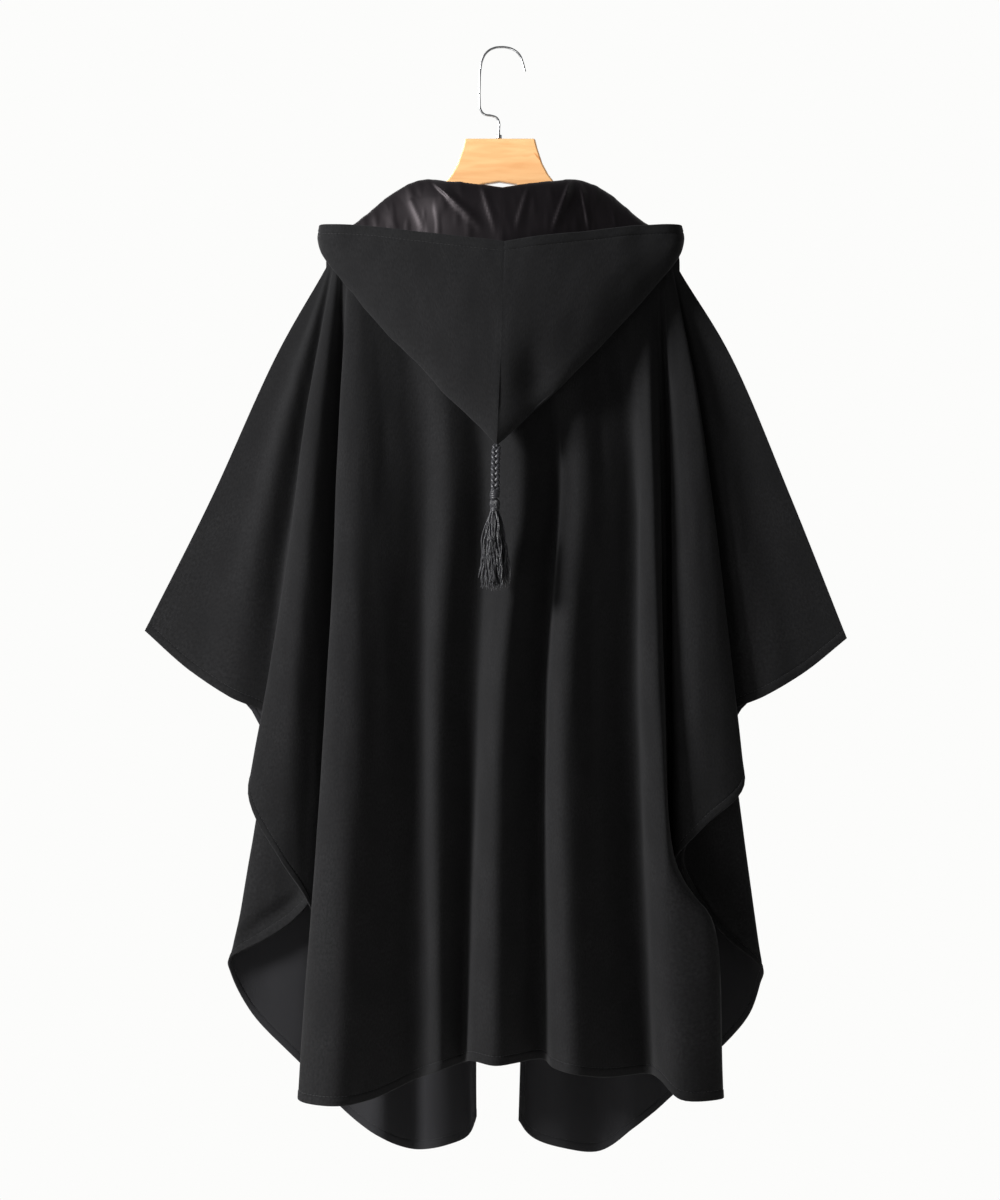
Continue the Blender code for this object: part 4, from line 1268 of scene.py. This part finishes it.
    def half(self, name: str, side: int) -> None:
        """Build one half with its lining and stitching.

        Args:
            name: "left" or "right".
            side: -1 for the left half and +1 for the right.
        """
        grid = self.hung(self.grid(side, ROUTE_POINTS))
        distance = np.full(grid.shape[1], BEYOND)
        hem = self.rim.distances()
        distance[-len(hem):] = hem
        half = np.broadcast_to(CLOTH / 2 + self.rim.thickness(distance), grid.shape[:2]).copy()
        upper = ramp(grid[0, :, 2], self.round_from - self.seam_fade, self.seam_fade)
        half[:len(self.seam_shares)] -= self.seam_sink * np.outer(self.seam_shares, upper)
        piece = shell(f"hood_{name}_cloth", grid, -half, half, Finishes.WOOL, seam=True)
        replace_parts(piece, f"hood_{name}")
        LOG.info("hood %s: %.3f m2", name, face_area(grid))
        self.sew(name, grid, half)
        HoodLining(self).build(name, side)

    def sew(self, name: str, grid: Array, half: Array) -> bpy.types.Object:
        """Topstitch the rim on both faces.

        Args:
            name: "left" or "right".
            grid: middle of the cloth.
            half: half its thickness.

        Returns:
            The stitching.
        """
        lines = face_lines(grid, half, slice(None, -self.steps), grid.shape[1] + self.rim.stitch_row)
        return Stitches().sew(f"hood_{name}_stitches", lines)

    def build(self) -> None:
        """Build both halves."""
        self.half("left", -1)
        self.half("right", 1)


@dataclass
class HoodLining:
    """The hood's satin lining, creased where it is crushed between the hood and the neck."""

    hood: Hood
    cut: tuple[float, float] = (0.34, 0.36)
    least_share: float = 0.3         # of its cut, given as its area where less of it is modelled
    fine: int = 3                    # satin takes sharper creases, so its grid is this much finer
    depth: float = 4.2               # of the deepest crease
    lean: Sequence = ((1.0, 0.0, 0.35), (0.0, 1.0, 0.0), (0.0, 0.0, 0.5))      # of the soft folds
    fold_size: tuple[float, float, float] = (60, 120, 130)
    fold_share: float = 0.25         # of the deepest crease
    pucker_size: tuple[float, float, float] = (24, 60, 50)
    pucker_share: float = 0.15
    seed: int = 31
    soft_fade: tuple[float, float, float] = (9, 0.25, 0.2)       # from the seam, the neck and the end
    crease_fade: tuple[float, float, float] = (2, 0.05, 0.1)

    def faded(self, inner: Array, columns: float, neck: float, end: float) -> Array:
        """Keep the folds off the lining's edges.

        Args:
            inner: the lining in millimetres.
            columns: the folds grow over this many of the hood's columns from the centre seam.
            neck: and over this share of the height from the neck.
            end: and over this share of it from the lower end.

        Returns:
            A number from 0 to 1 for each point.
        """
        rows = np.linspace(0, 1, inner.shape[1])
        down = np.minimum(ramp(rows, 0, neck), ramp(rows, 1, -end))
        return down[None, :] * ramp(np.arange(len(inner)), 0, columns * self.fine)[:, None]

    def folds(self, inner: Array) -> Array:
        """Fold the lining softly and then crease it.

        Args:
            inner: the lining in millimetres.

        Returns:
            How far each point is lifted, as a share of the deepest crease.
        """
        slant = inner @ np.array(self.lean).T
        soft = np.clip(self.fold_share * (1 - np.abs(smooth_noise(slant, self.fold_size, self.seed))), 0, 1)
        pucker = self.pucker_share * np.clip(smooth_noise(inner, self.pucker_size, self.seed + 1), 0, 1)
        folds = (soft + pucker) * self.faded(inner, *self.soft_fade)
        fade = self.faded(inner, *self.crease_fade)
        for crease in LINING_CREASES:
            folds = np.maximum(folds, crease.height(inner) * fade)
        return folds

    def build(self, name: str, side: int) -> bpy.types.Object:
        """Make one half.

        Args:
            name: "left" or "right".
            side: -1 for the left half and +1 for the right.

        Returns:
            The lining.
        """
        face = -side
        inner = self.hood.grid(side, LINING_POINTS)[:, self.hood.per_span // 2:]
        for _ in range(2):
            places = np.linspace(0, len(inner) - 1, self.fine * (len(inner) - 1) + 1)
            inner = catmull(inner, places).transpose(1, 0, 2)
        near = face * (CLOTH / 2 + SEAM_GAP + self.folds(inner) * self.depth)
        lining = shell(f"hood_{name}_satin", inner, near, near + face * SATIN, Finishes.SATIN, seam=True)
        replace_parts(lining, f"hood_lining_{name}")
        return lining


@dataclass(frozen=True)
class Winding:
    """A yarn wound round the tassel."""

    name: str
    high: float                      # height of its first turn
    low: float                       # height of its last turn
    radius: float
    turns: float
    thick: float                     # radius of the yarn
    tilt: float                      # how far a turn rises from side to side
    round_off: float = 0.2           # the first and last turns are narrower by this share
    fine: int = 20                   # points to a turn

    def wind(self, middle: tuple[float, float]) -> bpy.types.Object:
        """Wind the yarn.

        Args:
            middle: the tassel's middle, across and in depth.

        Returns:
            The winding.
        """
        share = np.linspace(0, 1, int(self.turns * self.fine))
        turn = share * self.turns * 2 * math.pi
        belly = self.radius * (1 - self.round_off + self.round_off * np.sin(share * math.pi))
        route = np.stack([middle[0] + np.cos(turn) * belly, middle[1] + np.sin(turn) * belly,
                          self.high + (self.low - self.high) * share + np.cos(turn) * self.tilt], axis=1)
        return yarns(self.name, route[None], np.full((1, len(share)), self.thick), 8, Finishes.RAYON)


@dataclass
class Tassel:
    """The braided cord from the hood's tip, its knot, and the bound head with its loose yarns."""

    middle: tuple[float, float] = (-6.0, -77.0)
    cord: Sequence = ((-4.0, -72.0, -479.6), (-4.6, -74.5, -488.0), (-5.3, -76.3, -508.0),
                      (-5.6, -77.0, -534.0))         # from the hood's tip to the knot
    plies: int = 3
    ply: float = 2.25                # radius of one ply of the braid
    swing: tuple[float, float] = (3.3, 1.5)          # how far a ply swings across and in depth
    pitch: float = 20.0              # length over which the plies change places
    gathered: tuple[float, float] = (0.06, 0.25)     # share of its length where it is narrow, least width
    knot: Winding = Winding("tassel_knot", -532.5, -542.5, 4.6, 4.0, 1.7, 1.6)
    binding: Winding = Winding("tassel_binding", -553.4, -557.6, 5.1, 5.0, 0.65, 0.25)
    levels: Sequence = ((-543.0, 1.2), (-545.5, 4.6), (-549.5, 5.8), (-553.5, 5.0), (-557.0, 4.6),
                        (-568.0, 8.5), (-590.0, 14.0), (-616.0, 16.5), (-640.0, 17.5))    # (height, spread)
    head_levels: int = 4             # of them, above the binding
    yarn_count: int = 210
    yarn: float = 0.62               # radius of a loose yarn
    taper: Sequence = ((0, 0.8), (1, 1.0), (3, 1.0), (8, 0.95))      # (level, share of that radius)
    flat: float = 0.72               # depth of the skirt as a share of its width
    ends: tuple[float, float] = (-9.0, 5.0)          # how unevenly the yarns end
    droop: Sequence = (0.1, 0.4, 0.8, 1.0)           # share of it at each of the last levels
    stray: tuple[float, float] = (0.72, 1.16)        # how closely a yarn keeps to the skirt
    swirl: float = 0.05              # turn of a yarn from level to level, in radians
    crimp: tuple[float, float] = (1.7, 1.4)          # waves of a loose yarn across and in depth
    crimp_turn: tuple[float, float] = (2.6, 4.4)     # and their turn from level to level
    seed: int = 17

    def braid(self) -> bpy.types.Object:
        """Plait the plies down to the knot.

        Returns:
            The cord.
        """
        places = np.linspace(0, 1, 90)
        line = along(self.cord, places)
        reached = places * np.linalg.norm(np.array(self.cord[0]) - np.array(self.cord[-1]))
        run, least = self.gathered
        routes = []
        for ply in range(self.plies):
            turn = 2 * math.pi * (reached / self.pitch + ply / self.plies)
            aside = np.stack([np.sin(turn) * self.swing[0], np.sin(2 * turn) * self.swing[1],
                              np.zeros_like(turn)], axis=1)
            routes.append(line + aside * np.clip(places / run, least, 1)[:, None])
        radii = np.full((self.plies, len(places)), self.ply)
        return yarns("cord_braid", np.stack(routes), radii, 10, Finishes.RAYON)

    def route(self, number: int, picks: np.random.Generator) -> Array:
        """Let one yarn fall from the top of the head through the binding to its end.

        Args:
            number: which yarn it is.
            picks: the random draws.

        Returns:
            Its points at the levels, in millimetres.
        """
        levels, spread = np.array(self.levels).T
        head = self.head_levels
        turn = number * math.pi * (3 - math.sqrt(5))
        layer = math.sqrt((number + 0.5) / self.yarn_count)
        longer = picks.uniform(*self.ends) - 3 * (1 - layer)
        reach = layer * (0.82 + 0.18 * layer) * spread
        reach[head:] *= picks.uniform(*self.stray)
        reach[:head] = spread[:head] * (0.35 + 0.65 * layer)
        levels[head + 1:] += np.array(self.droop) * longer
        swirl = turn + np.cumsum(picks.normal(0, self.swirl, len(levels)))
        return np.stack([self.middle[0] + np.cos(swirl) * reach,
                         self.middle[1] + np.sin(swirl) * reach * self.flat, levels], axis=1)

    def skirt(self) -> bpy.types.Object:
        """Hang the yarns, crimped below the binding.

        Returns:
            The head and the loose yarns.
        """
        picks = np.random.default_rng(self.seed)
        fine = np.linspace(0, len(self.levels) - 1, 46)
        loose = ramp(fine, self.head_levels, 3)
        thick = self.yarn * np.interp(fine, *np.array(self.taper).T)
        routes = []
        for number in range(self.yarn_count):
            line = catmull(self.route(number, picks), fine)
            phase = picks.uniform(0, 2 * math.pi, 2)
            bend = fine * picks.uniform(*self.crimp_turn) + phase[0]
            line[:, 0] += np.sin(bend) * loose * self.crimp[0]
            line[:, 1] += np.cos(bend + phase[1]) * loose * self.crimp[1]
            routes.append(line)
        return yarns("tassel_yarns", np.stack(routes), np.tile(thick, (self.yarn_count, 1)), 4,
                     Finishes.RAYON)

    def build(self) -> None:
        """Make the cord and the tassel in place of their solids."""
        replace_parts(self.braid(), "tassel_cord")
        self.knot.wind(self.middle)
        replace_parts(self.skirt(), "tassel")
        self.binding.wind(self.middle)
        LOG.info("tassel: %d yarns", self.yarn_count)


@dataclass
class Hanger:
    """The shirt hanger's hook: one bent wire with a round end, set in a turned collar."""

    route: Sequence = HOOK_ROUTE
    wire: float = 2.8                # diameter of the wire
    collar: float = 7.0              # diameter of the collar
    collar_edge: float = 0.7         # radius of its rounded edges
    board_top: float = -109.0
    clear: float = 0.15              # gap left above and below the collar
    smooth_wire: float = math.radians(50)
    smooth_collar: float = math.radians(40)

    def hook(self) -> bpy.types.Object:
        """Bend the wire along its route.

        Returns:
            The wire.
        """
        bpy.ops.object.select_all(action="DESELECT")
        bpy.ops.curve.primitive_bezier_curve_add()
        wire = bpy.context.object
        wire.name = "hook_wire"
        bend = wire.data.splines[0]
        bend.bezier_points.add(len(self.route) - 2)
        for knot, (across, height) in zip(bend.bezier_points, self.route):
            knot.co = (across * MM, 0, height * MM)
            knot.handle_left_type = knot.handle_right_type = "AUTO"
        bend.resolution_u = 10
        wire.data.bevel_depth = self.wire / 2 * MM
        wire.data.bevel_resolution = 5
        wire.data.use_fill_caps = True
        bpy.context.view_layer.update()
        bpy.ops.object.convert(target="MESH")
        bpy.ops.object.transform_apply(location=True, rotation=True, scale=True)
        bpy.ops.object.shade_smooth_by_angle(angle=self.smooth_wire)
        return take_finish(bpy.context.object, Finishes.STEEL)

    def ferrule(self) -> bpy.types.Object:
        """Turn the collar from a disc with rounded edges.

        Returns:
            The collar.
        """
        across, foot = self.route[-1]
        height = foot - self.board_top
        bpy.ops.object.select_all(action="DESELECT")
        bpy.ops.mesh.primitive_cylinder_add(
            vertices=48, radius=self.collar / 2 * MM, depth=(height - 2 * self.clear) * MM,
            location=(across * MM, 0, (foot - height / 2 + self.clear) * MM))
        collar = bpy.context.object
        collar.name = "hook_collar"
        bpy.ops.object.mode_set(mode="EDIT")
        bpy.ops.mesh.select_all(action="SELECT")
        bpy.ops.mesh.bevel(offset=self.collar_edge * MM, segments=4, affect="EDGES")
        bpy.ops.object.mode_set(mode="OBJECT")
        bpy.ops.object.transform_apply(location=True, rotation=True, scale=True)
        bpy.ops.object.shade_smooth_by_angle(angle=self.smooth_collar)
        return take_finish(collar, Finishes.STEEL)

    def build(self) -> None:
        """Make the hook in place of its solid and finish the board."""
        wire = self.hook()
        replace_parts(wire, "hanger_hook")
        self.ferrule()
        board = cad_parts["hanger_board"]
        board.data.materials.clear()
        board.data.materials.append(Finishes.WOOD.value.material())
        LOG.info("hanger: %d points of wire", len(self.route))


@dataclass(frozen=True)
class Softbox:
    """A square area light."""

    name: str
    place: tuple[float, float, float]        # in metres
    size: float                              # length of its side, in metres
    watts: float

    def light(self, level: float) -> None:
        """Add the light, looking at the garment.

        Args:
            level: height that it looks at.
        """
        lamp = bpy.data.lights.new(self.name, "AREA")
        lamp.size = self.size
        lamp.energy = self.watts
        box = bpy.data.objects.new(self.name, lamp)
        box.location = self.place
        aim = Vector((0, 0, level)) - Vector(self.place)
        box.rotation_euler = aim.to_track_quat("-Z", "Y").to_euler()
        bpy.context.scene.collection.objects.link(box)


@dataclass
class Studio:
    """Plain pale floor, soft light from the upper left, and the camera of the photograph.

    A white surround stands behind the garment and the room in front of it is dim, so that the folds of
    the black cloth keep their depth.
    """

    distance: float = 3.2            # camera to hanger, in metres
    frame_width: float = 1.2         # width of the picture at the hanger
    level: float = -0.662            # height of the camera
    sensor: float = 36.0
    floor_level: float = -1.62
    world: str = "#FCFCFB"
    wall_side: float = 1.0           # brightness behind the garment, where the white wall stands
    room_side: float = 0.12          # and in front of it, where the room is dim
    softboxes: Sequence[Softbox] = (Softbox("key softbox", (-2.8, -1.5, 0.35), 0.8, 260.0),
                                    Softbox("low softbox", (-1.5, -2.4, -1.9), 1.2, 22.0),
                                    Softbox("fill softbox", (2.2, -2.0, -0.4), 1.6, 3.0),
                                    Softbox("front softbox", (-1.6, 2.4, 0.6), 1.6, 40.0))

    def floor(self) -> None:
        """Lay the floor."""
        bpy.ops.object.select_all(action="DESELECT")
        bpy.ops.mesh.primitive_plane_add(size=1.0, location=(0, -0.2, self.floor_level))
        floor = bpy.context.object
        floor.name = "studio_floor"
        bpy.ops.object.mode_set(mode="EDIT")
        bpy.ops.mesh.select_all(action="SELECT")
        bpy.ops.transform.resize(value=(3.0, 2.0, 1.0))
        bpy.ops.mesh.subdivide(number_cuts=3)
        bpy.ops.object.mode_set(mode="OBJECT")
        bpy.ops.object.transform_apply(location=True, rotation=True, scale=True)
        floor.data.materials.append(Finishes.FLOOR.value.material())

    def surround(self) -> None:
        """Make the world bright behind the garment and dim in front of it."""
        world = bpy.data.worlds.new("pale studio")
        world.use_nodes = True
        tree = world.node_tree
        back = tree.nodes["Background"]
        back.inputs["Color"].default_value = linear(self.world)
        place = add_node(tree, "ShaderNodeTexCoord")
        parts = add_node(tree, "ShaderNodeSeparateXYZ", links={"Vector": (place, "Generated")})
        level = add_node(tree, "ShaderNodeMapRange", {"From Min": -0.3, "From Max": 0.9,
                                                      "To Min": self.room_side, "To Max": self.wall_side},
                         {"Value": (parts, "Y")}, interpolation_type="SMOOTHSTEP")
        tree.links.new(level.outputs["Result"], back.inputs["Strength"])
        bpy.context.scene.world = world

    def camera(self) -> None:
        """Set up the camera of the photograph."""
        camera = bpy.data.cameras.new("photograph camera")
        camera.sensor_fit = "HORIZONTAL"
        camera.sensor_width = self.sensor
        camera.lens = self.sensor * self.distance / self.frame_width
        camera.clip_start = 0.05
        viewer = bpy.data.objects.new("photograph camera", camera)
        viewer.location = (0, -self.distance, self.level)
        viewer.rotation_euler = (math.pi / 2, 0, 0)
        bpy.context.scene.collection.objects.link(viewer)
        bpy.context.scene.camera = viewer

    def build(self) -> None:
        """Make the floor, the world, the lights and the camera."""
        self.floor()
        self.surround()
        bpy.context.scene.view_settings.view_transform = "Standard"
        for softbox in self.softboxes:
            softbox.light(self.level)
        self.camera()


def main() -> None:
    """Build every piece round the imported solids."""
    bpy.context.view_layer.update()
    Studio().build()
    BodyPanel("back_panel", BACK_FOLDS, -1, (1.75, 1.12), seed=11).build()
    BodyPanel("front_panel_left", LEFT_FRONT_FOLDS, 1, (0.86, 1.20), edge_hem=True, seed=23).build()
    BodyPanel("front_panel_right", RIGHT_FRONT_FOLDS, 1, (0.86, 1.20), edge_hem=True, seed=37).build()
    Hood().build()
    Tassel().build()
    Hanger().build()


if __name__ == "__main__":
    logging.basicConfig(level=logging.INFO)
    main()
